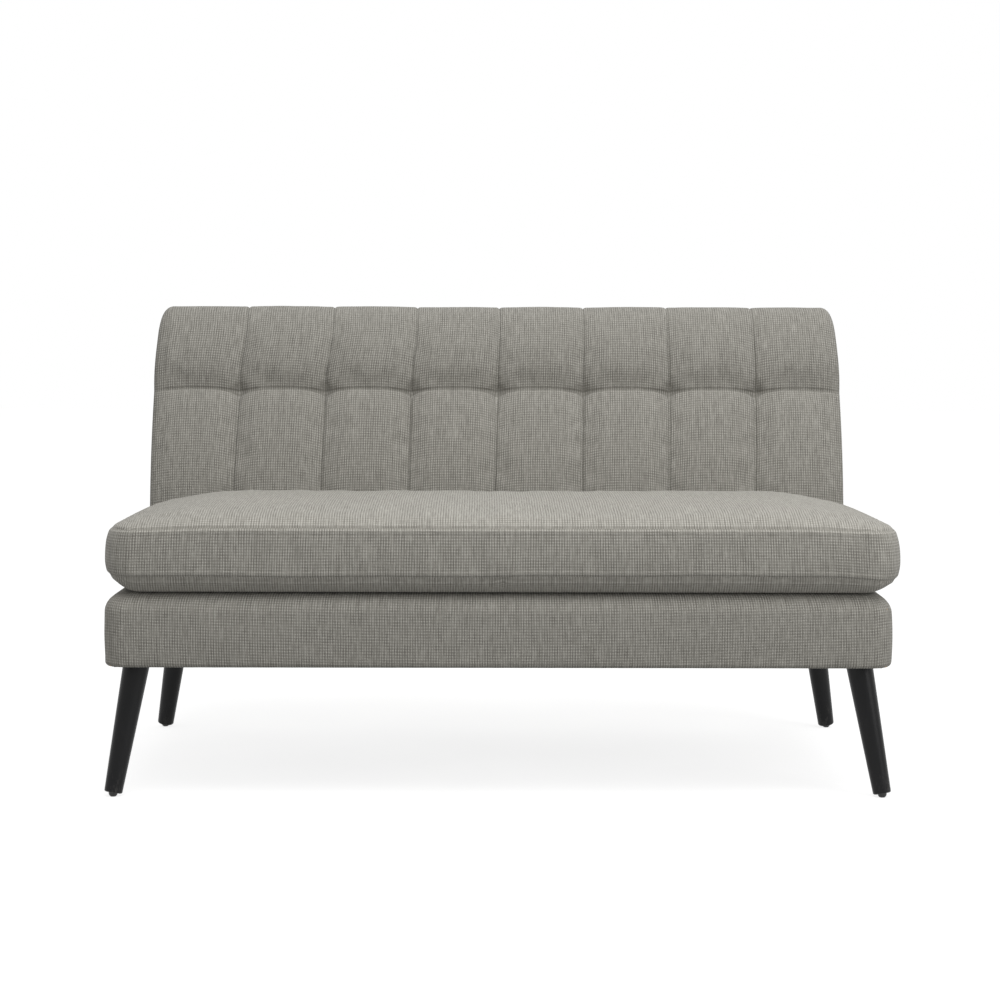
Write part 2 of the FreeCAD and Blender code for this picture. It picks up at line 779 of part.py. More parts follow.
def make_back_frame(fixings, ties):
    """Plywood side frames and ribs joined by rails."""
    inner = "side_frame_inner"
    span = "2 * side_frame_inner"
    rails = {}
    bottom = board(
        "bottom_rail_board",
        both_sides(inner),
        ("frame_front", "back_rear_low - board_gap"),
        ("base_top", "base_top + bottom_rail_thick"),
    )
    rails["back_bottom_rail"] = cut("bottom_rail_whole", bottom, *fixings)
    tuft_low = "(tuft_height - tuft_rail_half)"
    tuft_high = "(tuft_height + tuft_rail_half)"
    points = [
        (frame_line(tuft_low), tuft_low),
        (frame_line(tuft_high), tuft_high),
        (frame_line(tuft_high) + " + tuft_rail_thick", tuft_high),
        (frame_line(tuft_low) + " + tuft_rail_thick", tuft_low),
    ]
    tuft_rail = slab("tuft_rail_board", "YZ_Plane", points, span, "0", True)
    rails["back_tuft_rail"] = cut("tuft_rail_whole", tuft_rail, ties)
    top_low = "(frame_top - top_rail_height)"
    points = [
        (frame_line(top_low), top_low),
        (frame_line("frame_top"), "frame_top"),
        (rear_line("frame_top", "board_gap"), "frame_top"),
        (rear_line(top_low, "board_gap"), top_low),
    ]
    rails["back_top_rail"] = slab("top_rail_whole", "YZ_Plane", points, span, "0", True)
    screws = make_back_screws()
    for name, rail in rails.items():
        node(cut(name, rail, screws), name)
    for side, name in ((-1, "left"), (1, "right")):
        start = inner if side > 0 else "0 - %s" % BACK_OUTER
        frame = slab("side_frame_%s" % name, "YZ_Plane", frame_profile(), "side_frame_thick", start)
        node(cut("back_%s_side_frame" % name, frame, screws), "back_%s_side_frame" % name)
    ribs = []
    for side in (-1, 1):
        start = "%d * rib_offset - side_frame_thick / 2" % side
        rib = slab("rib_%d" % (side > 0), "YZ_Plane", frame_profile(), "side_frame_thick", start)
        ribs.append(cut("notched_rib_%d" % (side > 0), rib, *rails.values()))
    node(group("back_ribs", ribs), "back_ribs")


def make_back_screws():
    """Screws through the side frames into the ends of the rails."""
    screws = []
    bottom = "base_top + bottom_rail_thick / 2"
    lower, upper = "(tuft_height - tuft_screw_offset)", "(tuft_height + tuft_screw_offset)"
    top = "(frame_top - top_rail_height / 2)"
    places = [
        ("back_rear_low - bottom_screw_front", bottom),
        ("back_rear_low - bottom_screw_rear", bottom),
        (frame_line(lower) + " + tuft_rail_thick / 2", lower),
        (frame_line(upper) + " + tuft_rail_thick / 2", upper),
        (frame_line(top) + " + top_screw_depth", top),
    ]
    for side in (-1, 1):
        start = "%d * %s" % (side, BACK_OUTER)
        for i, (y, z) in enumerate(places):
            name = "back_screw_%d_%d" % (side > 0, i)
            length = "side_frame_thick + screw_bite"
            screws.append(rod(name, "screw_radius", length, start, y, z, (-side, 0, 0)))
    return node(group("back_frame_screws", screws), "back_frame_screws")


def make_tuft_ties():
    """Twine from each tuft back to a toggle behind the tuft rail."""
    ties, toggles = [], []
    start = "row_front + tuft_sink + cloth + twine_gap"
    rail_rear = frame_line("tuft_height") + " + tuft_rail_thick"
    length = "%s + toggle_thick + twine_tail - (%s)" % (rail_rear, start)
    seat = "%s + toggle_gap" % rail_rear
    for i in range(7):
        x = "%d * seam_spacing" % (i - 3)
        ties.append(rod("tie_%d" % i, "tuft_tie_radius", length, x, start, "tuft_height", (0, 1, 0)))
        disc = rod("disc_%d" % i, "toggle_radius", "toggle_thick", x, seat, "tuft_height", (0, 1, 0))
        toggles.append(cut("toggle_%d" % i, disc, ties[-1]))
    tie_group = node(group("tuft_ties", ties), "tuft_ties")
    node(group("tuft_toggles", toggles), "tuft_toggles")
    return tie_group


def make_back_support(ties):
    """Webbing over the frame, the foam slab on it, and the board behind."""
    lean = math.degrees(math.atan(value("front_slope")))
    straps = []
    for i, height in enumerate(STRAP_HEIGHTS):
        strap = doc.addObject("Part::Box", "strap_%d" % i)
        strap.setExpression("Length", formula("2 * (%s - strap_inset)" % BACK_OUTER))
        strap.setExpression("Width", formula("strap_thick"))
        strap.setExpression("Height", formula("strap_wide"))
        turn = FreeCAD.Rotation(FreeCAD.Vector(-1, 0, 0), lean)
        strap.Placement = FreeCAD.Placement(FreeCAD.Vector(0, 0, 0), turn)
        strap.setExpression("Placement.Base.x", formula("strap_inset - %s" % BACK_OUTER))
        strap.setExpression("Placement.Base.y", formula(frame_line(height) + " - strap_thick * 1.1"))
        strap.Placement.Base.z = height
        straps.append(strap)
    node(group("back_webbing", straps), "back_webbing")
    shoulder = "(frame_top - foam_shoulder)"
    slope_top = foam_line(shoulder)
    points = [
        (FOAM_FRONT, "quilt_low"),
        (FOAM_FRONT, "bend_height"),
        (slope_top, shoulder),
        (slope_top + " + cap_run", "frame_top + foam_cap"),
        (rear_line("frame_top", "board_gap"), "frame_top + foam_cap"),
        (rear_line("frame_top", "board_gap"), "frame_top + cap_gap"),
        (frame_line("frame_top") + " - foam_gap", "frame_top + cap_gap"),
        ("frame_front - foam_gap", "bend_height"),
        ("frame_front - foam_gap", "quilt_low"),
    ]
    foam = slab("foam_slab", "YZ_Plane", points, "2 * " + BACK_OUTER, "0", True)
    notches = []
    for side, name in ((-1, "left"), (1, "right")):
        start = "quilt_half - side_round - foam_gap" if side > 0 else "0 - side_pad_outer"
        end = "side_pad_outer" if side > 0 else "side_round + foam_gap - quilt_half"
        deep = ("frame_front", rear_line("back_top"))
        tall = ("frame_top - notch_depth", "back_top")
        notches.append(board("foam_notch_%s" % name, (start, end), deep, tall))
    back_foam = node(cut("back_foam", foam, ties, *notches), "back_foam")
    low = "quilt_low"
    high = "(frame_top + board_overhang)"
    points = [
        (rear_line(low, "board_gap"), low),
        (rear_line(high, "board_gap"), high),
        (rear_line(high, "board_gap - board_thick"), high),
        (rear_line(low, "board_gap - board_thick"), low),
    ]
    node(slab("back_rear_board", "YZ_Plane", points, "2 * " + BACK_OUTER, "0", True), "back_rear_board")
    high = "(top_edge_height - 2 * cloth)"
    points = [
        (rear_line(low, "cloth"), low),
        (rear_line(high, "cloth"), high),
        (rear_line(high), high),
        (rear_line(low), low),
    ]
    sheet_form = slab("rear_sheet", "YZ_Plane", points, "2 * quilt_half", "0", True)
    across = "(side_round + rear_corner_gap)"
    down = "(corner_drop + rear_corner_gap)"
    bow = "%s * (1 - sqrt(0.5))" % across
    fall = "%s * (1 - sqrt(0.5))" % down
    corners = [
        ("0 - quilt_half", low),
        ("quilt_half", low),
        ("quilt_half", "%s - %s" % (high, down), "quilt_half - %s" % bow, "%s - %s" % (high, fall)),
        ("quilt_half - %s" % across, high),
        ("%s - quilt_half" % across, high, "%s - quilt_half" % bow, "%s - %s" % (high, fall)),
        ("0 - quilt_half", "%s - %s" % (high, down)),
    ]
    rear_shape = slab("rear_shape", "XZ_Plane", corners, "4 * back_rear_low", "0", True)
    node(common("back_rear_cover", sheet_form, rear_shape), "back_rear_cover")
    return back_foam


def make_side_covers():
    """Padded fabric sides of the back, rounded on their outer edges."""
    inner = "(%s + side_gap)" % BACK_OUTER
    shoulder = "(frame_top - side_shoulder - corner_drop)"
    cap = "(frame_top + foam_cap - edge_gap - corner_drop)"
    slope_top = foam_line(shoulder)
    for side, name in ((-1, "left"), (1, "right")):
        points = [
            (FOAM_FRONT, "quilt_low"),
            (FOAM_FRONT, "bend_height"),
            (slope_top, shoulder),
            (slope_top + " + cap_run", cap),
            (rear_line(cap, "cloth + side_rear_gap"), cap),
            (rear_line("quilt_low", "cloth + side_rear_gap"), "quilt_low"),
        ]
        start = inner if side > 0 else "0 - side_pad_outer"
        body = slab("side_cover_%s" % name, "YZ_Plane", points, "side_pad_outer - %s" % inner, start)
        doc.recompute()
        pad = body.Tip
        outer = side * value("side_pad_outer")
        names = []
        for number, edge in enumerate(pad.Shape.Edges, start=1):
            flat = abs(edge.BoundBox.XMin - outer) < 1e-6 and abs(edge.BoundBox.XMax - outer) < 1e-6
            if flat and edge.BoundBox.ZMax > value("quilt_low") + 1:
                names.append("Edge%d" % number)
        fillet = body.newObject("PartDesign::Fillet", "side_cover_%s_edge" % name)
        fillet.Base = (pad, names)
        fillet.setExpression("Radius", formula("side_fillet"))
        node(body, "back_%s_side_cover" % name)


def quilt_outer(x, sink, pit, swell, drop, inset):
    """Front line of the tufted back at one X: bottom, bend, tuft row, top front, top rear."""
    low = value("quilt_low")
    front = value("quilt_front") + sink + inset
    row = value("row_front") + pit + inset
    bend = value("bend_height")
    tuft = value("tuft_height")
    top_y = value("top_front") + sink + inset - drop * value("front_slope")
    top_z = value("top_edge_height") - drop - inset
    rear_y = value(rear_line("top_edge_height")) - drop * value("back_rear_slope") - inset
    crown = value("back_top") - drop - sink * CROWN_SINK - inset
    spots = [
        (front, low),
        (front, bend),
        (row, tuft),
        (top_y, top_z),
        (rear_y, top_z),
    ]
    middles = [
        None,
        ((front + row) / 2 - swell, (bend + tuft) / 2 + swell * LOWER_LIFT),
        ((row + top_y) / 2 - swell * UPPER_SWELL, (tuft + top_z) / 2 + swell * UPPER_LIFT),
        ((top_y + rear_y) / 2, crown),
    ]
    return [FreeCAD.Vector(x, y, z) for y, z in spots], [
        None if m is None else FreeCAD.Vector(x, m[0], m[1]) for m in middles
    ]


def open_edges(spots, middles):
    """Lines and arcs through the spots, an arc where a middle is given."""
    edges = []
    for i in range(len(spots) - 1):
        if middles[i] is None:
            edges.append(Part.makeLine(spots[i], spots[i + 1]))
        else:
            edges.append(Part.Arc(spots[i], middles[i], spots[i + 1]).toShape())
    return edges


def quilt_stations(trim):
    """Runs of sections from seam to seam: X, sink, pit, swell and drop of each section."""
    spacing = value("seam_spacing")
    sink = value("seam_sink")
    pit = value("tuft_sink")
    swell = value("panel_swell")
    half = value("quilt_half") - trim
    curl = value("side_round")
    side_sink = value("side_sink")
    corner_drop = value("corner_drop")
    panel_pit = value("panel_pit")
    end_sink = value("shoulder_sink")
    end_pit = value("shoulder_pit")
    seams = [(i * spacing, sink, pit, swell * SEAM_SWELL, 0) for i in range(-3, 4)]
    runs = []
    for first, last in zip(seams, seams[1:]):
        runs.append([first, ((first[0] + last[0]) / 2, 0, panel_pit, swell, 0), last])
    for side, seam in ((-1, seams[0]), (1, seams[-1])):
        shoulder = side * (half - curl)
        middle = ((seam[0] + shoulder) / 2, 0, panel_pit, swell, 0)
        runs.append([seam, middle, (shoulder, end_sink, end_pit, swell * END_SWELL, end_sink)])
        for i in range(3):
            turns = [math.radians(30 * j) for j in (i, i + 1)]
            ends = []
            for turn in turns:
                fall = 1 - math.cos(turn)
                x = side * (half - curl + curl * math.sin(turn))
                sunk = side_sink * fall
                dropped = end_sink + corner_drop * fall
                ends.append((x, end_sink + sunk, end_pit + sunk, swell * END_SWELL, dropped))
            runs.append(ends)
    return runs


def quilt_foam_line(x, drop, gap):
    """The plain line behind the wadding: over the foam and down its front, as spots."""
    low_front = value(FOAM_FRONT) - gap
    shoulder = value("frame_top - foam_shoulder") - drop
    front = low_front + (shoulder - value("bend_height")) * value("front_slope")
    cap = value("frame_top + foam_cap") + gap - drop
    rear = value(rear_line("top_edge_height", "wadding_rear")) - drop * value("back_rear_slope")
    spots = [
        (rear, cap),
        (front + value("cap_run"), cap),
        (front, shoulder + gap),
        (low_front, value("bend_height")),
        (low_front, value("quilt_low")),
    ]
    return [FreeCAD.Vector(x, y, z) for y, z in spots]


def filled_section(station, inset):
    """Closed section from the cover's line, moved in by an inset, to the plain line over the foam."""
    spots, middles = quilt_outer(*station, inset)
    chain = [spots[-1]] + quilt_foam_line(station[0], station[4], value("wadding_gap")) + [spots[0]]
    edges = open_edges(spots, middles)
    edges += [Part.makeLine(first, last) for first, last in zip(chain, chain[1:])]
    return Part.Wire(edges)


def wadding_section(station):
    """Closed section of the wadding, between the cover and the foam."""
    return filled_section(station, value("cloth + wadding_gap"))


def cover_section(station):
    """Closed section of the front cover, one thickness of cloth."""
    spots, middles = quilt_outer(*station, 0)
    inner_spots, inner_middles = quilt_outer(*station, value("cloth"))
    edges = open_edges(spots, middles)
    edges.append(Part.makeLine(spots[-1], inner_spots[-1]))
    edges += list(reversed(open_edges(inner_spots, inner_middles)))
    edges.append(Part.makeLine(inner_spots[0], spots[0]))
    return Part.Wire(Part.sortEdges(edges)[0])


def quilt_solid(section, runs):
    """Loft from seam to seam, so that each seam stays a crease, and join the panels."""
    panels = []
    for run in runs:
        ordered = sorted(run)
        panels.append(Part.makeLoft([section(station) for station in ordered], True, False))
    return panels[0].multiFuse(panels[1:])


def end_plate(side, runs):
    """The cover's turned-in side, which closes the end of the wadding."""
    stations = sorted(station for run in runs for station in run)
    station = stations[-1] if side > 0 else stations[0]
    return Part.Face(filled_section(station, 0)).extrude(FreeCAD.Vector(-side * value("cloth"), 0, 0))


def make_quilt(ties, foam):
    """The tufted front of the back: wadding and the sewn cover over it."""
    runs = quilt_stations(0)
    cover = doc.addObject("Part::Feature", "back_front_cover")
    cover.Shape = quilt_solid(cover_section, runs).multiFuse([end_plate(-1, runs), end_plate(1, runs)])
    cover.Placement = FreeCAD.Placement()
    node(cover, "back_front_cover")
    wadding = doc.addObject("Part::Feature", "wadding_form")
    wadding.Shape = quilt_solid(wadding_section, quilt_stations(value("cloth + side_gap")))
    wadding.Placement = FreeCAD.Placement()
    node(cut("back_wadding", wadding, ties, foam), "back_wadding")


def cushion_section(x, shrink, crown, inset):
    """Closed section of the bench cushion at one X, shrunk in depth towards its ends."""
    front = value("cushion_front") + shrink + inset
    rear = value("cushion_rear") - shrink - inset
    low = value("cushion_low") + inset
    lower = value("seam_low")
    upper = value("seam_high")
    top = upper + (value("crown_top") - upper) * crown - inset
    shoulder = upper + (value("crown_shoulder") - upper) * crown - inset
    band = value("band_bulge")
    tuck = value("underside_tuck")
    run = value("shoulder_run")
    bow = value("shoulder_bow")
    rise = (shoulder - upper) * SHOULDER_RISE
    tuck_z = low + (lower - low) * TUCK_RISE
    spots = [
        (rear - tuck, low),
        (front + tuck, low),
        (front, lower),
        (front, upper),
        (front + run, shoulder),
        (rear - run, shoulder),
        (rear, upper),
        (rear, lower),
    ]
    middles = [
        None,
        (front + tuck * TUCK_RUN, tuck_z),
        (front - band, (lower + upper) / 2),
        (front + bow, upper + rise),
        ((front + rear) / 2, top),
        (rear - bow, upper + rise),
        None,
        (rear - tuck * TUCK_RUN, tuck_z),
    ]
    points = [FreeCAD.Vector(x, y, z) for y, z in spots]
    edges = open_edges(points + [points[0]], [None if m is None else FreeCAD.Vector(x, *m) for m in middles])
    return Part.Wire(edges)


def cushion_solid(inset):
    """The whole cushion form: a straight middle and two ends that fall and round off."""
    half = value("cushion_half") - inset
    plateau = value("plateau_half")
    curl = value("cushion_corner")
    shoulder = half - curl
    pull = value("end_pull")
    middle = ((plateau + shoulder) / 2, pull / 4, MIDDLE_CROWN)
    runs = [[(plateau, 0, 1.0), middle, (shoulder, pull, END_CROWN)]]
    for i in range(END_STEPS):
        run = []
        for j in (i, i + 1):
            turn = math.radians(90 * j / END_STEPS)
            drop = 1 - math.cos(turn)
            run.append((shoulder + curl * math.sin(turn), pull + curl * drop, END_CROWN - END_FALL * drop))
        runs.append(run)
    parts = []
    for side in (-1, 1):
        for run in runs:
            wires = [cushion_section(side * x, shrink, crown, inset) for x, shrink, crown in run]
            parts.append(Part.makeLoft(wires, True, False))
    middle = [cushion_section(side * plateau, 0, 1.0, inset) for side in (-1, 1)]
    parts.append(Part.makeLoft(middle, True, False))
    return parts[0].multiFuse(parts[1:])


def slice_of(shape, low, high):
    """The part of a shape between two heights."""
    half = value("cushion_half + overshoot")
    box = Part.makeBox(2 * half, 2 * half, high - low, FreeCAD.Vector(-half, -half, low))
    return shape.common(box)


def make_cushion():
    """Bench cushion: foam core, fibre wrap, and a cover of top, band and bottom."""
    core = board(
        "seat_cushion_core",
        both_sides("core_half"),
        ("core_front", "core_rear"),
        ("core_low", "core_top"),
    )
    node(core, "seat_cushion_foam")
    wrap_form = doc.addObject("Part::Feature", "wrap_form")
    wrap_form.Shape = cushion_solid(value("cloth + wrap_gap"))
    wrap_form.Placement = FreeCAD.Placement()
    node(cut("seat_cushion_wrap", wrap_form, core), "seat_cushion_wrap")
    shell = cushion_solid(0).cut(cushion_solid(value("cloth")))
    low = value("cushion_low - overshoot")
    lower = value("seam_low")
    upper = value("seam_high")
    high = value("crown_top + overshoot")
    for name, bottom, top in (
        ("seat_cushion_bottom_panel", low, lower),
        ("seat_cushion_top_panel", upper, high),
    ):
        panel = doc.addObject("Part::Feature", name)
        panel.Shape = slice_of(shell, bottom, top)
        panel.Placement = FreeCAD.Placement()
        node(panel, name)
    band = doc.addObject("Part::Feature", "band_whole")
    band.Shape = slice_of(shell, lower, upper)
    band.Placement = FreeCAD.Placement()
    slot = board(
        "zip_slot",
        both_sides("zip_half"),
        ("cushion_rear - zip_slot_depth", "cushion_rear + overshoot"),
        ("zip_height - zip_tape / 2", "zip_height + zip_tape / 2"),
    )
    node(cut("seat_cushion_band", band, slot), "seat_cushion_band")


def make_zip():
    """Zip along the rear of the band: tape with its coil, and the slider that rides on it."""
    tape = board(
        "zip_tape_strip",
        both_sides("zip_half"),
        ("cushion_rear - cloth", "cushion_rear"),
        ("zip_height - zip_tape / 2", "zip_height + zip_tape / 2"),
    )
    coil = board(
        "zip_coil_ridge",
        both_sides("zip_half"),
        ("cushion_rear", "cushion_rear + zip_coil_thick"),
        ("zip_height - zip_coil / 2", "zip_height + zip_coil / 2"),
    )
    node(fuse("cushion_zip_tape", [tape, coil]), "cushion_zip_tape")
    start = "(slider_start - zip_half)"
    shell = board(
        "slider_shell",
        (start, start + " + slider_long"),
        ("cushion_rear + slider_gap", "cushion_rear + zip_coil_thick + slider_wall"),
        ("zip_height - slider_wide / 2", "zip_height + slider_wide / 2"),
    )
    channel = board(
        "slider_channel",
        (start + " - overshoot", start + " + slider_long + overshoot"),
        ("cushion_rear", "cushion_rear + zip_coil_thick + slider_gap"),
        ("zip_height - zip_coil / 2 - slider_gap", "zip_height + zip_coil / 2 + slider_gap"),
    )
    node(cut("cushion_zip_slider", shell, channel), "cushion_zip_slider")


screws, bolts = make_leg_hardware()
make_legs(bolts)
make_seat_frame(screws, bolts)
make_springs()
make_clips("front_spring_clips", "(%s - spring_overlap)" % FRONT_INNER, -1)
make_clips("rear_spring_clips", "(spring_rail_front + spring_overlap)", 1)
back_fixings = make_back_fixings()
make_deck(back_fixings)
make_base_covers(screws, bolts, back_fixings)
ties = make_tuft_ties()
make_back_frame(back_fixings, ties)
back_foam = make_back_support(ties)
make_side_covers()
make_quilt(ties, back_foam)
make_cushion()
make_zip()
doc.recompute()

for obj in doc.Objects:
    if "Invalid" in obj.State or "Error" in obj.State:
        raise RuntimeError("%s failed: %s" % (obj.Name, obj.State))

os.makedirs("parts", exist_ok=True)
for obj in NODES:
    shape = obj.Shape
    if shape.isNull() or not shape.isValid() or not shape.Solids:
        raise RuntimeError("%s has no valid solid" % obj.Label)
    shape.exportStep("parts/%s.step" % obj.Label)
    print("%-28s solids %2d  volume %11.1f" % (obj.Label, len(shape.Solids), shape.Volume))
print("%d nodes" % len(NODES))
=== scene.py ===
import bmesh
import bpy
import math
import numpy as np
from bpy.props import FloatProperty, FloatVectorProperty, PointerProperty
from mathutils import Euler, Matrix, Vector


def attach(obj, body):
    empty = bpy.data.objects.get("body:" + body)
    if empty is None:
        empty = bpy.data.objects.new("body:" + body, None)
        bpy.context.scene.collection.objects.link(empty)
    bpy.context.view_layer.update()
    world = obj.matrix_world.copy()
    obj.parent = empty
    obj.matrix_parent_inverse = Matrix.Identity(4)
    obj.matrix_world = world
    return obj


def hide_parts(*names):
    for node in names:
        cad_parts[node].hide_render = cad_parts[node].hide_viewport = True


bl_info = {
    "name": "Tufted armless sofa",
    "version": (1, 0, 0),
    "blender": (4, 5, 0),
    "location": "3D Viewport > Sidebar > Sofa",
    "description": "Upholstery, legs and studio for an armless sofa around its packed frame",
    "category": "Object",
}

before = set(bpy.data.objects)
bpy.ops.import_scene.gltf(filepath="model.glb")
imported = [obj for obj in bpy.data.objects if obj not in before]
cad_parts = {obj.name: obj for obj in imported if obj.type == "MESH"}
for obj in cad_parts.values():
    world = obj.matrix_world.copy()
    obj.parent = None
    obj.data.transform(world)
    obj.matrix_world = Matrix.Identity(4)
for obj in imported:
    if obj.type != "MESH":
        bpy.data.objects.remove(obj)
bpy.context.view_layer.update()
MM = 0.001
CLOTH_UV = "cloth"


# Settings

class LinenSettings(bpy.types.PropertyGroup):
    """Colours and yarns of the woven cover"""
    dark: FloatVectorProperty(
        name="Dark yarn", description="Colour of the shaded yarns", subtype="COLOR",
        size=3, min=0, max=1, default=(0.190, 0.181, 0.160))
    body: FloatVectorProperty(
        name="Body yarn", description="Main colour of the linen", subtype="COLOR",
        size=3, min=0, max=1, default=(0.300, 0.289, 0.258))
    light: FloatVectorProperty(
        name="Light yarn", description="Colour of the thick light slubs", subtype="COLOR",
        size=3, min=0, max=1, default=(0.452, 0.438, 0.398))
    warp_pitch: FloatProperty(
        name="Warp pitch", description="Distance between neighbouring warp yarns",
        subtype="DISTANCE", unit="LENGTH", default=0.0021)
    weft_pitch: FloatProperty(
        name="Weft pitch", description="Distance between neighbouring weft yarns",
        subtype="DISTANCE", unit="LENGTH", default=0.0024)
    # The three factors below are painted light and shade: one linen is made darker on the back and base and
    # lighter on the cushion, in place of how the lamps light each part.
    back_painted_shade: FloatProperty(
        name="Shade of the back", description="How light the nap lies on the back",
        subtype="FACTOR", min=0, max=2, default=0.84)
    base_painted_shade: FloatProperty(
        name="Shade of the base", description="How light the nap lies on the seat base",
        subtype="FACTOR", min=0, max=2, default=0.97)
    cushion_painted_light: FloatProperty(
        name="Shade of the cushion", description="How light the nap lies on the cushion",
        subtype="FACTOR", min=0, max=2, default=1.07)
    streak: FloatProperty(
        name="Streak strength", description="How strongly the uneven yarns show",
        subtype="FACTOR", min=0, max=2, default=1.0)


class BackSettings(bpy.types.PropertyGroup):
    """Sizes of the tufted back"""
    seam_spacing: FloatProperty(
        name="Seam spacing", description="Distance between neighbouring upright seams",
        subtype="DISTANCE", unit="LENGTH", default=0.161)
    tuft_height: FloatProperty(
        name="Tuft height", description="Height of the row of blind tufts",
        subtype="DISTANCE", unit="LENGTH", default=0.646)
    half_width: FloatProperty(
        name="Half width", description="Half the width of the back",
        subtype="DISTANCE", unit="LENGTH", default=0.643)
    tuft_depth: FloatProperty(
        name="Tuft depth", description="How far each tuft is pulled in",
        subtype="DISTANCE", unit="LENGTH", default=0.0145)
    seam_depth: FloatProperty(
        name="Seam depth", description="How far the upright seams sink",
        subtype="DISTANCE", unit="LENGTH", default=0.0045)
    deepest: FloatProperty(
        name="Deepest point", description="How far the cloth can sink before it meets the foam",
        subtype="DISTANCE", unit="LENGTH", default=0.0175)
    slack: FloatProperty(
        name="Cloth slack", description="Spare cloth over the padding, as a share",
        subtype="FACTOR", min=0, max=0.2, default=0.03)


class CushionSettings(bpy.types.PropertyGroup):
    """Sizes of the bench cushion"""
    aside: FloatProperty(
        name="Sideways place", description="How far right of the middle the cushion lies",
        subtype="DISTANCE", unit="LENGTH", default=0.007)
    crown: FloatProperty(
        name="Crown", description="Rise of the top panel above its seam",
        subtype="DISTANCE", unit="LENGTH", default=0.029)
    top_seam: FloatProperty(
        name="Top seam height", description="Height of the seam between top panel and band",
        subtype="DISTANCE", unit="LENGTH", default=0.448)
    low_seam: FloatProperty(
        name="Bottom seam height", description="Height of the seam between band and bottom panel",
        subtype="DISTANCE", unit="LENGTH", default=0.368)
    underside: FloatProperty(
        name="Underside height", description="Height of the face that rests on the base",
        subtype="DISTANCE", unit="LENGTH", default=0.3408)
    slack: FloatProperty(
        name="Cloth slack", description="Spare cloth between the seams, as a share",
        subtype="FACTOR", min=0, max=0.2, default=0.025)


class BaseSettings(bpy.types.PropertyGroup):
    """Sizes of the upholstered seat base"""
    half_width: FloatProperty(
        name="Half width", description="Half the width of the base",
        subtype="DISTANCE", unit="LENGTH", default=0.645)
    front: FloatProperty(
        name="Front", description="Y of the base's front face",
        subtype="DISTANCE", unit="LENGTH", default=-0.385)
    rear: FloatProperty(
        name="Rear", description="Y of the base's rear face",
        subtype="DISTANCE", unit="LENGTH", default=0.330)
    low: FloatProperty(
        name="Underside height", description="Height of the base's lower edge",
        subtype="DISTANCE", unit="LENGTH", default=0.218)
    top: FloatProperty(
        name="Top height", description="Height of the deck under the cushion",
        subtype="DISTANCE", unit="LENGTH", default=0.340)
    staple_pitch: FloatProperty(
        name="Staple pitch", description="Distance between the staples of the dust cover",
        subtype="DISTANCE", unit="LENGTH", default=0.042)


class StudioSettings(bpy.types.PropertyGroup):
    """Camera and light"""
    camera_place: FloatVectorProperty(
        name="Camera place", description="Where the camera stands", subtype="TRANSLATION",
        unit="LENGTH", size=3, default=(-0.0245, -4.357, 0.816))
    lens: FloatProperty(
        name="Focal length", description="Focal length in millimetres on a 36 mm sensor",
        unit="CAMERA", default=88.63)
    key_power: FloatProperty(
        name="Overhead light", description="Power of the large lamp above the front",
        subtype="POWER", unit="POWER", default=76)
    side_power: FloatProperty(
        name="Side light", description="Power of the soft lamp on the right",
        subtype="POWER", unit="POWER", default=30)
    sky: FloatProperty(
        name="Room light", description="Strength of the even light from all round",
        subtype="FACTOR", min=0, max=2, default=0.50)


# Materials: shared node groups

class NodeGroup:
    """A shader node group that is filled through short calls."""

    def __init__(self, name, inputs, outputs):
        self.tree = bpy.data.node_groups.new(name, "ShaderNodeTree")
        for label, kind, default in inputs:
            socket = self.tree.interface.new_socket(
                name=label, in_out="INPUT", socket_type="NodeSocket" + kind)
            if default is not None:
                socket.default_value = default
        for label, kind in outputs:
            self.tree.interface.new_socket(name=label, in_out="OUTPUT", socket_type="NodeSocket" + kind)
        self.source = self.tree.nodes.new("NodeGroupInput").outputs
        self.sink = self.tree.nodes.new("NodeGroupOutput").inputs

    def feed(self, socket, given):
        """Link a socket or set its value."""
        if isinstance(given, bpy.types.NodeSocket):
            self.tree.links.new(given, socket)
        elif given is not None:
            socket.default_value = given

    def add(self, kind, inputs=(), **settings):
        node = self.tree.nodes.new(kind)
        for key, setting in settings.items():
            setattr(node, key, setting)
        for key, given in dict(inputs).items():
            self.feed(node.inputs[key], given)
        return node

    def math(self, operation, a, b=None, c=None, clamp=False):
        node = self.add("ShaderNodeMath", operation=operation, use_clamp=clamp)
        for socket, given in zip(node.inputs, (a, b, c)):
            self.feed(socket, given)
        return node.outputs[0]

    def scaled(self, vector, scale):
        """The vector times a scale, which is three numbers or a socket."""
        node = self.add("ShaderNodeVectorMath", operation="MULTIPLY")
        self.feed(node.inputs[0], vector)
        self.feed(node.inputs[1], scale)
        return node.outputs[0]

    def noise(self, vector, detail=2.0, rough=0.5):
        node = self.add("ShaderNodeTexNoise", {
            "Vector": vector, "Scale": 1.0, "Detail": detail, "Roughness": rough})
        return node.outputs[0]

    def ramp(self, value, low, high, to_low=0.0, to_high=1.0):
        node = self.add("ShaderNodeMapRange", {
            "Value": value, "From Min": low, "From Max": high, "To Min": to_low, "To Max": to_high})
        return node.outputs[0]

    def mix(self, share, a, b):
        node = self.add("ShaderNodeMix", data_type="RGBA")
        self.feed(node.inputs[0], share)
        self.feed(node.inputs[6], a)
        self.feed(node.inputs[7], b)
        return node.outputs[2]


def colour(rgb):
    return (rgb[0], rgb[1], rgb[2], 1.0)


# How fine the linen's streaks are across the warp, along it and through the cloth, in cells per metre
FINE_WARP = (430.0, 38.0, 60.0)
BROAD_WARP = (150.0, 8.0, 20.0)
FINE_WEFT = (70.0, 400.0, 60.0)
YARN_KNOTS = (300.0, 140.0, 90.0)
LOOSE_SPOTS = (60.0, 60.0, 60.0)
YARN_RELIEF = 0.35 * MM


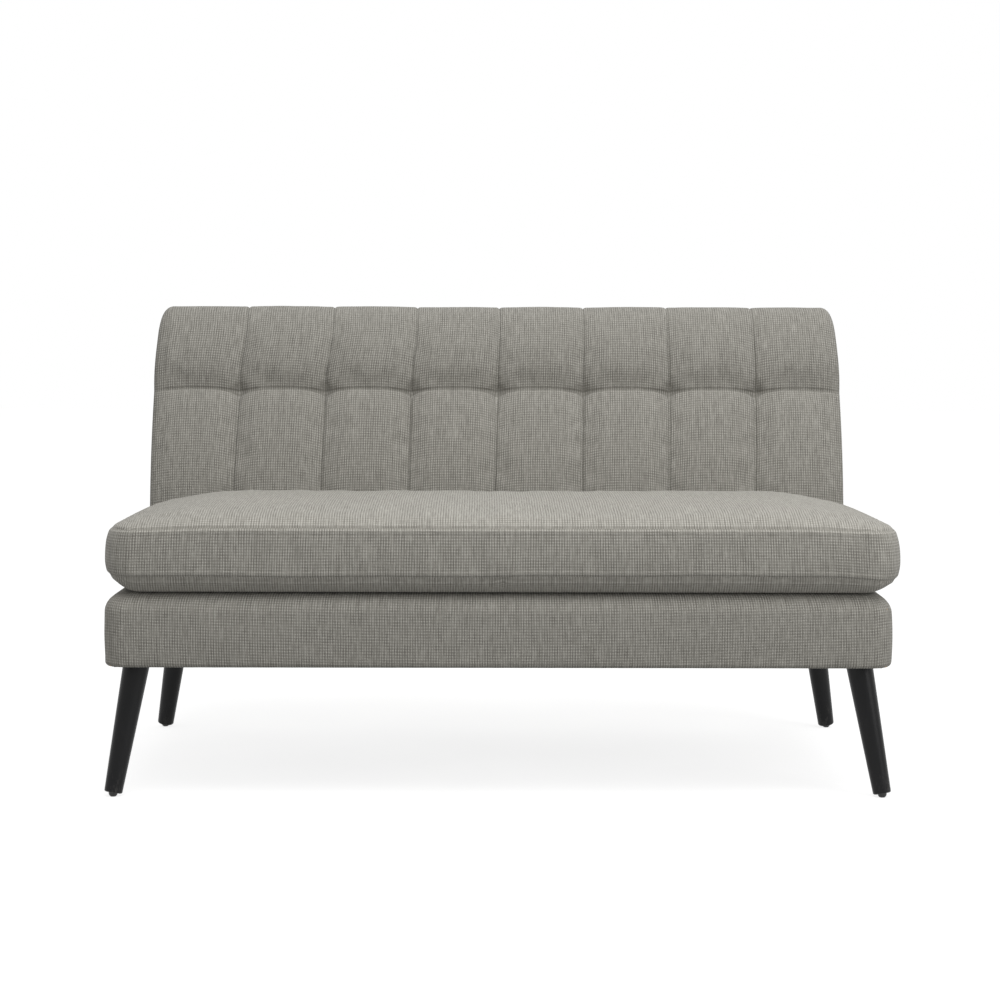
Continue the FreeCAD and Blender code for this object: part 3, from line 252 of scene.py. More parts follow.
def weave_group():
    """Plain weave with slubs: long streaks along V, shorter ones along U, and the yarns' relief."""
    group = NodeGroup(
        "Slub weave",
        [("Cloth", "Vector", None), ("Warp pitch", "Float", 0.002), ("Weft pitch", "Float", 0.002),
         ("Streak", "Float", 1.0), ("Dark", "Color", None), ("Body", "Color", None),
         ("Light", "Color", None)],
        [("Color", "Color"), ("Height", "Float"), ("Roughness", "Float")])
    cloth = group.source["Cloth"]
    bend = group.noise(group.scaled(cloth, (9.0, 9.0, 9.0)), detail=1.0)
    sway = group.add("ShaderNodeCombineXYZ", {"X": group.math("MULTIPLY", bend, 0.003)}).outputs[0]
    lay = group.add("ShaderNodeVectorMath", operation="ADD")
    group.feed(lay.inputs[0], cloth)
    group.feed(lay.inputs[1], sway)
    lay = lay.outputs[0]
    fine_warp = group.noise(group.scaled(lay, FINE_WARP), detail=1.0)
    broad_warp = group.noise(group.scaled(lay, BROAD_WARP))
    fine_weft = group.noise(group.scaled(lay, FINE_WEFT), detail=1.0)
    knots = group.noise(group.scaled(lay, YARN_KNOTS), detail=1.0)
    patches = group.noise(group.scaled(cloth, (5.0, 5.0, 5.0)), detail=2.0)
    split = group.add("ShaderNodeSeparateXYZ", {"Vector": lay}).outputs
    across = group.math("DIVIDE", split["X"], group.source["Warp pitch"])
    along = group.math("DIVIDE", split["Y"], group.source["Weft pitch"])
    ups = group.math("SINE", group.math("MULTIPLY", across, math.pi))
    overs = group.math("SINE", group.math("MULTIPLY", along, math.pi))
    threads = group.math("ADD", ups, group.math("MULTIPLY", overs, 0.6))
    cross = group.math("ADD", threads, group.math("MULTIPLY", group.math("MULTIPLY", ups, overs), 0.35))
    spots = group.noise(group.scaled(lay, LOOSE_SPOTS), detail=1.0)
    loose = group.ramp(spots, 0.35, 0.65, 0.3, 0.95)
    warp = group.math("MULTIPLY", group.math("SUBTRACT", fine_warp, 0.5), 1.9)
    broad = group.math("MULTIPLY", group.math("SUBTRACT", broad_warp, 0.5), 0.9)
    weft = group.math("MULTIPLY", group.math("SUBTRACT", fine_weft, 0.5), 0.9)
    fleck = group.ramp(knots, 0.62, 0.78, 0.0, 0.35)
    cast = group.math("MULTIPLY", group.math("SUBTRACT", patches, 0.5), 0.2)
    total = group.math("ADD", group.math("ADD", warp, broad), group.math("ADD", weft, fleck))
    total = group.math("ADD", group.math("ADD", total, cast), group.math("MULTIPLY", cross, loose))
    total = group.math("MULTIPLY", total, group.source["Streak"])
    darker = group.mix(group.ramp(total, 0.0, -1.0), group.source["Body"], group.source["Dark"])
    lighter = group.mix(group.ramp(total, 0.0, 1.0), darker, group.source["Light"])
    gap = group.math("MULTIPLY", group.math("ABSOLUTE", ups), group.math("ABSOLUTE", overs))
    # Painted shade: the colour is darkened by up to 14 % in the gaps between the yarns.
    painted_gap_shade = group.ramp(gap, 0.0, 0.35, 0.86, 1.0)
    painted_shading = group.add("ShaderNodeMix", data_type="RGBA", blend_type="MULTIPLY")
    group.feed(painted_shading.inputs[0], 1.0)
    group.feed(painted_shading.inputs[6], lighter)
    painted_gap_grey = group.add("ShaderNodeCombineColor", {"Red": painted_gap_shade, "Green": painted_gap_shade, "Blue": painted_gap_shade}).outputs[0]
    group.feed(painted_shading.inputs[7], painted_gap_grey)
    group.feed(group.sink["Color"], painted_shading.outputs[2])
    relief = group.math("ADD", group.math("MULTIPLY", cross, 0.3), group.math("MULTIPLY", total, 0.45))
    group.feed(group.sink["Height"], group.math("ADD", relief, group.math("MULTIPLY", gap, 0.4)))
    group.feed(group.sink["Roughness"], group.ramp(total, -1.0, 1.0, 0.95, 0.82))
    return group.tree


def grain_group():
    """Wood grain along Z with pores and broad figure."""
    group = NodeGroup(
        "Timber grain",
        [("Place", "Vector", None), ("Dark", "Color", None), ("Light", "Color", None),
         ("Figure", "Float", 1.0)],
        [("Color", "Color"), ("Height", "Float"), ("Roughness", "Float")])
    place = group.source["Place"]
    figure = group.noise(group.scaled(place, (24.0, 24.0, 2.4)), detail=4.0, rough=0.6)
    pores = group.noise(group.scaled(place, (900.0, 900.0, 40.0)), detail=2.0, rough=0.6)
    rings = group.math("FRACT", group.math("MULTIPLY", figure, 7.0))
    share = group.math("ADD", group.math("MULTIPLY", rings, 0.45), group.math("MULTIPLY", figure, 0.55))
    share = group.math("MULTIPLY", share, group.source["Figure"], clamp=True)
    tone = group.mix(share, group.source["Light"], group.source["Dark"])
    speck = group.mix(group.ramp(pores, 0.62, 0.75, 0.0, 0.5), tone, group.source["Dark"])
    group.feed(group.sink["Color"], speck)
    group.feed(group.sink["Height"], group.math("SUBTRACT", group.math("MULTIPLY", figure, 0.4), pores))
    group.feed(group.sink["Roughness"], group.ramp(pores, 0.3, 0.7, 0.42, 0.62))
    return group.tree


def metal_group():
    """Drawn or rolled steel: fine draw lines, blotches of plating and dull spots."""
    group = NodeGroup(
        "Worn plating",
        [("Place", "Vector", None), ("Bright", "Color", None), ("Dull", "Color", None)],
        [("Color", "Color"), ("Height", "Float"), ("Roughness", "Float")])
    place = group.source["Place"]
    lines = group.noise(group.scaled(place, (60.0, 1400.0, 1400.0)), detail=2.0)
    blotch = group.noise(group.scaled(place, (55.0, 55.0, 55.0)), detail=4.0, rough=0.65)
    share = group.math("ADD", group.math("MULTIPLY", lines, 0.3), group.ramp(blotch, 0.4, 0.7, 0.0, 0.7))
    group.feed(group.sink["Color"], group.mix(share, group.source["Bright"], group.source["Dull"]))
    group.feed(group.sink["Height"], lines)
    group.feed(group.sink["Roughness"], group.ramp(blotch, 0.3, 0.75, 0.26, 0.5))
    return group.tree


def fibre_group():
    """Loose or pressed fibres, foam cells and twisted yarns, by stretch."""
    group = NodeGroup(
        "Fibre and cell",
        [("Place", "Vector", None), ("Stretch", "Vector", (400.0, 400.0, 400.0)),
         ("Dark", "Color", None), ("Light", "Color", None)],
        [("Color", "Color"), ("Height", "Float"), ("Roughness", "Float")])
    place = group.scaled(group.source["Place"], group.source["Stretch"])
    fine = group.noise(place, detail=3.0, rough=0.7)
    cells = group.add("ShaderNodeTexVoronoi", {"Vector": place, "Scale": 1.6})
    cell = group.math("MINIMUM", cells.outputs["Distance"], 1.0)
    patches = group.noise(group.scaled(group.source["Place"], (14.0, 14.0, 14.0)), detail=2.0)
    share = group.math("ADD", group.math("MULTIPLY", fine, 0.6), group.math("MULTIPLY", patches, 0.4))
    tone = group.mix(group.ramp(share, 0.3, 0.7), group.source["Dark"], group.source["Light"])
    group.feed(group.sink["Color"], tone)
    group.feed(group.sink["Height"], group.math("ADD", fine, group.math("MULTIPLY", cell, 0.5)))
    group.feed(group.sink["Roughness"], group.ramp(fine, 0.2, 0.8, 0.98, 0.85))
    return group.tree


def wear_group():
    """Dust and scuffs that gather towards a height, as a mask."""
    group = NodeGroup(
        "Scuffs low down",
        [("Place", "Vector", None), ("Height from", "Float", 0.0), ("Height to", "Float", 0.06)],
        [("Mask", "Float")])
    place = group.source["Place"]
    up = group.add("ShaderNodeSeparateXYZ", {"Vector": place}).outputs["Z"]
    low = group.ramp(up, group.source["Height to"], group.source["Height from"])
    spots = group.noise(group.scaled(place, (130.0, 130.0, 45.0)), detail=5.0, rough=0.7)
    group.feed(group.sink["Mask"], group.math("MULTIPLY", low, group.ramp(spots, 0.52, 0.72), clamp=True))
    return group.tree


class Finish:
    """A material with a Principled BSDF whose changing inputs come from the shared groups."""

    def __init__(self, name, sheen=0.0, coat=0.0, metal=0.0, specular=0.5):
        self.material = bpy.data.materials.new(name)
        self.material.use_nodes = True
        self.nodes = self.material.node_tree.nodes
        self.links = self.material.node_tree.links
        self.shader = self.nodes["Principled BSDF"]
        self.shader.inputs["Sheen Weight"].default_value = sheen
        self.shader.inputs["Sheen Roughness"].default_value = 0.5
        self.shader.inputs["Coat Weight"].default_value = coat
        self.shader.inputs["Coat Roughness"].default_value = 0.22
        self.shader.inputs["Metallic"].default_value = metal
        self.shader.inputs["Specular IOR Level"].default_value = specular

    def coordinates(self, uv):
        if uv:
            node = self.nodes.new("ShaderNodeUVMap")
            node.uv_map = CLOTH_UV
            return node.outputs[0]
        return self.nodes.new("ShaderNodeTexCoord").outputs["Object"]

    def place(self, tree, values):
        node = self.nodes.new("ShaderNodeGroup")
        node.node_tree = tree
        for key, given in values.items():
            if isinstance(given, bpy.types.NodeSocket):
                self.links.new(given, node.inputs[key])
            else:
                node.inputs[key].default_value = given
        return node.outputs

    def finish(self, outputs, depth, strength=1.0):
        """Feed the shader from a group: colour, roughness and relief of a depth in metres."""
        self.links.new(outputs["Color"], self.shader.inputs["Base Color"])
        self.links.new(outputs["Roughness"], self.shader.inputs["Roughness"])
        bump = self.nodes.new("ShaderNodeBump")
        bump.inputs["Strength"].default_value = strength
        bump.inputs["Distance"].default_value = depth
        self.links.new(outputs["Height"], bump.inputs["Height"])
        self.links.new(bump.outputs[0], self.shader.inputs["Normal"])
        return self.material


def linen_finish(groups, linen, name, painted_shading):
    """The sofa's own cloth, made lighter or darker as a whole by a factor of painted light and shade for its
    part.
    """
    made = Finish(name, sheen=0.12, specular=0.25)
    out = made.place(groups["weave"], {
        "Cloth": made.coordinates(True), "Warp pitch": linen.warp_pitch, "Weft pitch": linen.weft_pitch,
        "Streak": linen.streak, "Dark": colour(painted_shading * np.array(linen.dark)),
        "Body": colour(painted_shading * np.array(linen.body)), "Light": colour(painted_shading * np.array(linen.light))})
    return made.finish(out, YARN_RELIEF, 0.8)


def fibre_finish(groups, name, dark, light, stretch, depth, uv):
    """Fibre, foam or tape; the relief has a depth in metres, and uv says that it follows the cloth."""
    made = Finish(name, sheen=0.1, specular=0.2)
    out = made.place(groups["fibre"], {
        "Place": made.coordinates(uv), "Stretch": stretch, "Dark": colour(dark), "Light": colour(light)})
    return made.finish(out, depth)


def timber_finish(groups, name, dark, light, figure, turn=(0.0, 0.0, 0.0)):
    """Wood whose grain runs along X, Y or Z by the turn."""
    made = Finish(name)
    mapping = made.nodes.new("ShaderNodeMapping")
    mapping.inputs["Rotation"].default_value = turn
    made.links.new(made.coordinates(False), mapping.inputs["Vector"])
    out = made.place(groups["grain"], {
        "Place": mapping.outputs[0], "Dark": colour(dark), "Light": colour(light), "Figure": figure})
    return made.finish(out, 0.0002, 0.7)


def metal_finish(groups, name, bright, dull):
    """Steel or zinc, plated or oiled."""
    made = Finish(name, metal=1.0)
    out = made.place(groups["metal"], {
        "Place": made.coordinates(False), "Bright": colour(bright), "Dull": colour(dull)})
    return made.finish(out, 0.00004, 0.5)


def leg_finish(groups):
    """Satin black stain over turned wood, scuffed near the floor."""
    made = Finish("Black satin legs", coat=0.08, specular=0.16)
    place = made.coordinates(False)
    grain = made.place(groups["grain"], {
        "Place": place, "Dark": (0.004, 0.004, 0.0045, 1), "Light": (0.008, 0.0082, 0.009, 1),
        "Figure": 1.0})
    scuffs = made.place(groups["wear"], {"Place": place, "Height from": 0.004, "Height to": 0.06})
    worn = made.nodes.new("ShaderNodeMix")
    worn.data_type = "RGBA"
    made.links.new(scuffs["Mask"], worn.inputs[0])
    made.links.new(grain["Color"], worn.inputs[6])
    worn.inputs[7].default_value = (0.06, 0.058, 0.055, 1)
    made.links.new(worn.outputs[2], made.shader.inputs["Base Color"])
    dull = made.nodes.new("ShaderNodeMapRange")
    dull.inputs["From Min"].default_value = 0.42
    dull.inputs["From Max"].default_value = 0.62
    dull.inputs["To Min"].default_value = 0.30
    dull.inputs["To Max"].default_value = 0.40
    made.links.new(grain["Roughness"], dull.inputs["Value"])
    made.links.new(dull.outputs[0], made.shader.inputs["Roughness"])
    bump = made.nodes.new("ShaderNodeBump")
    bump.inputs["Strength"].default_value = 0.25
    bump.inputs["Distance"].default_value = 0.0001
    made.links.new(grain["Height"], bump.inputs["Height"])
    made.links.new(bump.outputs[0], made.shader.inputs["Normal"])
    return made.material


def plastic_finish(groups, name, dark, light):
    """Moulded plastic with a fine spark texture."""
    made = Finish(name)
    out = made.place(groups["fibre"], {
        "Place": made.coordinates(False), "Stretch": (1500.0, 1500.0, 1500.0),
        "Dark": colour(dark), "Light": colour(light)})
    made.links.new(out["Color"], made.shader.inputs["Base Color"])
    made.shader.inputs["Roughness"].default_value = 0.45
    bump = made.nodes.new("ShaderNodeBump")
    bump.inputs["Strength"].default_value = 0.3
    bump.inputs["Distance"].default_value = 0.00005
    made.links.new(out["Height"], bump.inputs["Height"])
    made.links.new(bump.outputs[0], made.shader.inputs["Normal"])
    return made.material


# Dark and light colour of each wood
PINE = ((0.36, 0.21, 0.10), (0.62, 0.44, 0.25))
PLYWOOD = ((0.44, 0.29, 0.15), (0.66, 0.49, 0.30))
# Bright and dull colour of each metal
METALS = {
    "Zinc plated steel": ((0.66, 0.67, 0.69), (0.42, 0.42, 0.43)),
    "Oiled spring wire": ((0.24, 0.24, 0.25), (0.11, 0.10, 0.10)),
    "Zip metal": ((0.50, 0.50, 0.49), (0.28, 0.28, 0.28)),
}
# Dark and light colour, cells per metre each way, relief in metres, and whether it follows the cloth
FIBRES = {
    "Hardboard": ((0.12, 0.07, 0.035), (0.24, 0.15, 0.08), (500.0, 500.0, 500.0), 0.0001, False),
    "Cut foam": ((0.62, 0.58, 0.40), (0.84, 0.80, 0.62), (420.0, 420.0, 420.0), 0.0005, False),
    "Grey felt": ((0.10, 0.10, 0.10), (0.30, 0.29, 0.28), (260.0, 260.0, 90.0), 0.0004, False),
    "Black webbing": ((0.012, 0.012, 0.012), (0.05, 0.05, 0.05), (900.0, 120.0, 900.0), 0.0003, False),
    "Tuft twine": ((0.28, 0.23, 0.16), (0.50, 0.44, 0.34), (700.0, 200.0, 700.0), 0.0003, False),
    "Deck lining": ((0.010, 0.010, 0.011), (0.035, 0.035, 0.037), (800.0, 800.0, 800.0), 0.0002, True),
    "Dust cloth": ((0.012, 0.012, 0.013), (0.040, 0.040, 0.042), (300.0, 520.0, 300.0), 0.0002, True),
    "Zip tape": ((0.13, 0.125, 0.11), (0.26, 0.25, 0.22), (1200.0, 1200.0, 1200.0), 0.0002, False),
}
NODE_FINISHES = {
    "Black satin legs": ["leg_front_left", "leg_front_right", "leg_rear_left", "leg_rear_right"],
    "Black nylon": ["leg_glides", "tuft_toggles"],
    "Zinc plated steel": [
        "leg_plates", "leg_plate_screws", "leg_hanger_bolts", "seat_frame_screws", "back_frame_screws",
        "back_bolts", "back_bolt_washers", "back_tee_nuts", "front_spring_clips", "rear_spring_clips"],
    "Oiled spring wire": ["sinuous_springs", "spring_tie_wires"],
    "Pine along X": ["seat_front_rail", "seat_rear_rail", "seat_spring_rail", "back_mount_board"],
    "Pine along Y": ["seat_left_rail", "seat_right_rail", "seat_centre_stretcher", "leg_corner_blocks"],
    "Plywood along Z": ["back_left_side_frame", "back_right_side_frame", "back_ribs"],
    "Plywood along X": ["back_bottom_rail", "back_tuft_rail", "back_top_rail"],
    "Hardboard": ["back_rear_board"],
    "Cut foam": ["seat_cushion_foam", "back_foam"],
    "Grey felt": ["spring_felt"],
    "Black webbing": ["back_webbing"],
    "Tuft twine": ["tuft_ties"],
    "Zip metal": ["cushion_zip_slider"],
    "Zip tape": ["cushion_zip_tape"],
}


class SOFA_OT_finishes(bpy.types.Operator):
    """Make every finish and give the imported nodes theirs"""
    bl_idname = "sofa.finishes"
    bl_label = "Finishes"

    def execute(self, context):
        linen = context.scene.sofa_linen
        groups = {
            "weave": weave_group(), "grain": grain_group(), "metal": metal_group(),
            "fibre": fibre_group(), "wear": wear_group()}
        quarter = math.pi / 2
        # Painted light and shade: three copies of one linen, darker on the back and base and lighter on the
        # cushion.
        linen_finish(groups, linen, "Cushion linen", linen.cushion_painted_light)
        linen_finish(groups, linen, "Back linen", linen.back_painted_shade)
        linen_finish(groups, linen, "Base linen", linen.base_painted_shade)
        leg_finish(groups)
        plastic_finish(groups, "Black nylon", (0.012, 0.012, 0.012), (0.03, 0.03, 0.03))
        for name, colours in METALS.items():
            metal_finish(groups, name, *colours)
        timber_finish(groups, "Pine along X", *PINE, 1.0, (0.0, quarter, 0.0))
        timber_finish(groups, "Pine along Y", *PINE, 1.0, (quarter, 0.0, 0.0))
        timber_finish(groups, "Plywood along Z", *PLYWOOD, 0.8)
        timber_finish(groups, "Plywood along X", *PLYWOOD, 0.8, (0.0, quarter, 0.0))
        for name, settings in FIBRES.items():
            fibre_finish(groups, name, *settings)
        for name, nodes in NODE_FINISHES.items():
            for node in nodes:
                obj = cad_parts[node]
                obj.data.materials.clear()
                obj.data.materials.append(bpy.data.materials[name])
        return {"FINISHED"}


# Mesh helpers; every length inside them is in metres

def smoothstep(value, low, high):
    t = np.clip((value - low) / (high - low), 0.0, 1.0)
    return t * t * (3 - 2 * t)


def lattice_noise(seed, u, v, cell_u, cell_v):
    """Smooth even noise from -1 to 1 over two coordinates in metres, the same on every run."""
    a, b = u / cell_u, v / cell_v
    i, j = np.floor(a).astype(int), np.floor(b).astype(int)
    fa, fb = a - i, b - j
    fa, fb = fa * fa * (3 - 2 * fa), fb * fb * (3 - 2 * fb)

    def corner(p, q):
        h = np.sin((i + p) * 127.1 + (j + q) * 311.7 + seed * 74.7) * 43758.5453
        return (h - np.floor(h)) * 2 - 1

    low = corner(0, 0) * (1 - fa) + corner(1, 0) * fa
    high = corner(0, 1) * (1 - fa) + corner(1, 1) * fa
    return low * (1 - fb) + high * fb


def run_length(points, axis):
    """Distance walked along one axis of a lattice of points."""
    steps = np.linalg.norm(np.diff(points, axis=axis), axis=-1)
    pad = [(0, 0), (0, 0)]
    pad[axis] = (1, 0)
    return np.cumsum(np.pad(steps, pad), axis=axis)


def walked(line):
    """Distance along a line of points from its first one."""
    return np.concatenate([[0], np.cumsum(np.linalg.norm(np.diff(line, axis=0), axis=1))])


def rounded(near, radius):
    """0 to 1 up a quarter round of a radius, by the distance to the edge."""
    return np.sqrt(np.clip(1 - (1 - np.clip(near / radius, 0, 1)) ** 2, 0, 1))


def close_ring(points, uv, length):
    """A closed lattice and its UV with the first column repeated at the ring's whole length."""
    end = np.stack([np.full(len(points), length), uv[:, 0, 1]], -1)
    return np.concatenate([points, points[:, :1]], axis=1), np.concatenate([uv, end[:, None]], axis=1)


def lattice_faces(rows, columns, closed=False, flip=False):
    """Quads of a lattice whose points are stored row by row."""
    index = np.arange(rows * columns).reshape(rows, columns)
    if closed:
        index = np.concatenate([index, index[:, :1]], axis=1)
    corners = [index[:-1, :-1], index[:-1, 1:], index[1:, 1:], index[1:, :-1]]
    quads = np.stack(corners, axis=-1).reshape(-1, 4)
    return quads[:, ::-1] if flip else quads


def lattice_normals(points, closed=False, flip=False):
    """A normal at each point of a lattice, from its neighbours."""
    if closed:
        wide = np.concatenate([points[:, -1:], points, points[:, :1]], axis=1)
        across = wide[:, 2:] - wide[:, :-2]
    else:
        across = np.gradient(points, axis=1)
    along = np.gradient(points, axis=0)
    normal = np.cross(across, along)
    normal /= np.maximum(np.linalg.norm(normal, axis=-1, keepdims=True), 1e-12)
    return -normal if flip else normal


def make_piece(name, points, faces, uv, material, body, smooth=1):
    """A mesh piece from points and quads; uv has one pair in metres for each point."""
    mesh = bpy.data.meshes.new(name)
    mesh.from_pydata(np.asarray(points).reshape(-1, 3).tolist(), [], np.asarray(faces).tolist())
    layer = mesh.uv_layers.new(name=CLOTH_UV)
    corners = np.empty(len(mesh.loops), dtype=np.int32)
    mesh.loops.foreach_get("vertex_index", corners)
    flat = np.asarray(uv, dtype=np.float32).reshape(-1, 2)[corners]
    layer.data.foreach_set("uv", flat.ravel())
    mesh.shade_smooth()
    mesh.materials.append(bpy.data.materials[material])
    mesh.validate()
    piece = bpy.data.objects.new(name, mesh)
    bpy.context.scene.collection.objects.link(piece)
    if smooth:
        rounded = piece.modifiers.new("Rounding", "SUBSURF")
        rounded.levels = rounded.render_levels = smooth
        rounded.uv_smooth = "NONE"
        apply_modifiers(piece)
    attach(piece, body)
    return piece


def apply_modifiers(piece):
    """Put what the modifiers make into the mesh."""
    graph = bpy.context.evaluated_depsgraph_get()
    made = bpy.data.meshes.new_from_object(
        piece.evaluated_get(graph), preserve_all_data_layers=True, depsgraph=graph)
    old = piece.data
    piece.modifiers.clear()
    piece.data = made
    name = old.name
    bpy.data.meshes.remove(old)
    made.name = name


def relax(points, faces, pinned, slack, pressure, frames, cap):
    """Let cloth settle between its pinned points under pressure; each point's move, at most cap."""
    scene = bpy.context.scene
    flat = np.asarray(points).reshape(-1, 3)
    mesh = bpy.data.meshes.new("settling")
    mesh.from_pydata(flat.tolist(), [], np.asarray(faces).tolist())
    cover = bpy.data.objects.new("settling", mesh)
    scene.collection.objects.link(cover)
    group = cover.vertex_groups.new(name="sewn")
    group.add(np.flatnonzero(np.asarray(pinned).ravel()).tolist(), 1.0, "REPLACE")
    cloth = cover.modifiers.new("Cloth", "CLOTH")
    cloth.settings.quality = 5
    cloth.settings.mass = 0.25
    cloth.settings.tension_stiffness = 12
    cloth.settings.compression_stiffness = 12
    cloth.settings.shear_stiffness = 4
    cloth.settings.bending_stiffness = 0.6
    cloth.settings.air_damping = 3
    cloth.settings.vertex_group_mass = "sewn"
    cloth.settings.shrink_min = -slack
    cloth.settings.use_pressure = True
    cloth.settings.uniform_pressure_force = pressure
    cloth.settings.effector_weights.gravity = 0.0
    cloth.collision_settings.use_collision = False
    cloth.point_cache.frame_start = 1
    cloth.point_cache.frame_end = frames
    for number in range(1, frames + 1):
        scene.frame_set(number)
    settled = cover.evaluated_get(bpy.context.evaluated_depsgraph_get()).to_mesh()
    moved = np.empty(len(settled.vertices) * 3)
    settled.vertices.foreach_get("co", moved)
    cover.evaluated_get(bpy.context.evaluated_depsgraph_get()).to_mesh_clear()
    moved = moved.reshape(-1, 3) - flat
    bpy.data.objects.remove(cover)
    bpy.data.meshes.remove(mesh)
    scene.frame_set(1)
    if not np.isfinite(moved).all():
        raise RuntimeError("the cloth did not settle")
    length = np.linalg.norm(moved, axis=1, keepdims=True)
    moved *= np.minimum(1.0, cap / np.maximum(length, 1e-9))
    return moved.reshape(np.shape(points))


def blurred(field, times, closed=False):
    """A lattice field smoothed over its neighbours."""
    for _ in range(times):
        for axis in (0, 1):
            wrap = closed and axis == 1
            pad = [(0, 0)] * field.ndim
            pad[axis] = (1, 1)
            wide = np.pad(field, pad, mode="wrap" if wrap else "edge")
            low = np.take(wide, range(0, field.shape[axis]), axis=axis)
            high = np.take(wide, range(2, field.shape[axis] + 2), axis=axis)
            field = field * 0.5 + (low + high) * 0.25
    return field


def resampled(field, rows, columns):
    """Values of a lattice field at fractional row and column numbers."""
    i = np.clip(np.floor(rows).astype(int), 0, field.shape[0] - 2)
    j = np.clip(np.floor(columns).astype(int), 0, field.shape[1] - 2)
    a = (rows - i)[:, None, None]
    b = (columns - j)[None, :, None]
    low = field[i][:, j] * (1 - b) + field[i][:, j + 1] * b
    high = field[i + 1][:, j] * (1 - b) + field[i + 1][:, j + 1] * b
    return low * (1 - a) + high * a


def arc_through(first, middle, last, share):
    """Points of the circle through three plane points, for shares from 0 to 1; arrays of pairs."""
    ax, ay = first[..., 0], first[..., 1]
    bx, by = middle[..., 0], middle[..., 1]
    cx, cy = last[..., 0], last[..., 1]
    d = 2 * (ax * (by - cy) + bx * (cy - ay) + cx * (ay - by))
    ux = ((ax**2 + ay**2) * (by - cy) + (bx**2 + by**2) * (cy - ay) + (cx**2 + cy**2) * (ay - by)) / d
    uy = ((ax**2 + ay**2) * (cx - bx) + (bx**2 + by**2) * (ax - cx) + (cx**2 + cy**2) * (bx - ax)) / d
    radius = np.hypot(ax - ux, ay - uy)
    start = np.arctan2(ay - uy, ax - ux)
    sweep = np.arctan2(cy - uy, cx - ux) - start
    sweep = (sweep + math.pi) % (2 * math.pi) - math.pi
    angle = start + sweep * share
    return np.stack([ux + radius * np.cos(angle), uy + radius * np.sin(angle)], axis=-1)


def spaced(low, high, step):
    """Evenly spaced numbers from low to high, about a step apart."""
    count = max(2, int(round((high - low) / step)) + 1)
    return np.linspace(low, high, count)


# The back

QUILT_FRONT = 176 * MM
QUILT_LOW = 341 * MM
BEND_HEIGHT = 420 * MM
ROW_FRONT = 250 * MM
TOP_FRONT = 291 * MM
TOP_EDGE = 776 * MM
BACK_TOP = 803 * MM
REAR_LOW = 328 * MM
REAR_SLOPE = 0.1537
FRONT_SLOPE = 0.337
SIDE_ROUND = 22 * MM
SIDE_SINK = 14 * MM
CORNER_DROP = 26 * MM
PANEL_SWELL = 11 * MM
ROW_LIFT = 7.5 * MM
TUCK = 45 * MM
# Share by which the back is narrower at its top
TOP_TAPER = 0.008
# How far each upright seam strays sideways at its top and at its foot, left to right
SEAM_TOP_DRIFT = [8.3, 11.3, 8.7, 4.2, 3.4, 0.8, 1.9]
SEAM_FOOT_DRIFT = [-5.6, -4.4, -3.2, -3.8, -2.6, -3.3, -3.9]


def rear_plane(height):
    """Y of the back's rear face at a height."""
    return REAR_LOW + (height - 0.340) * REAR_SLOPE


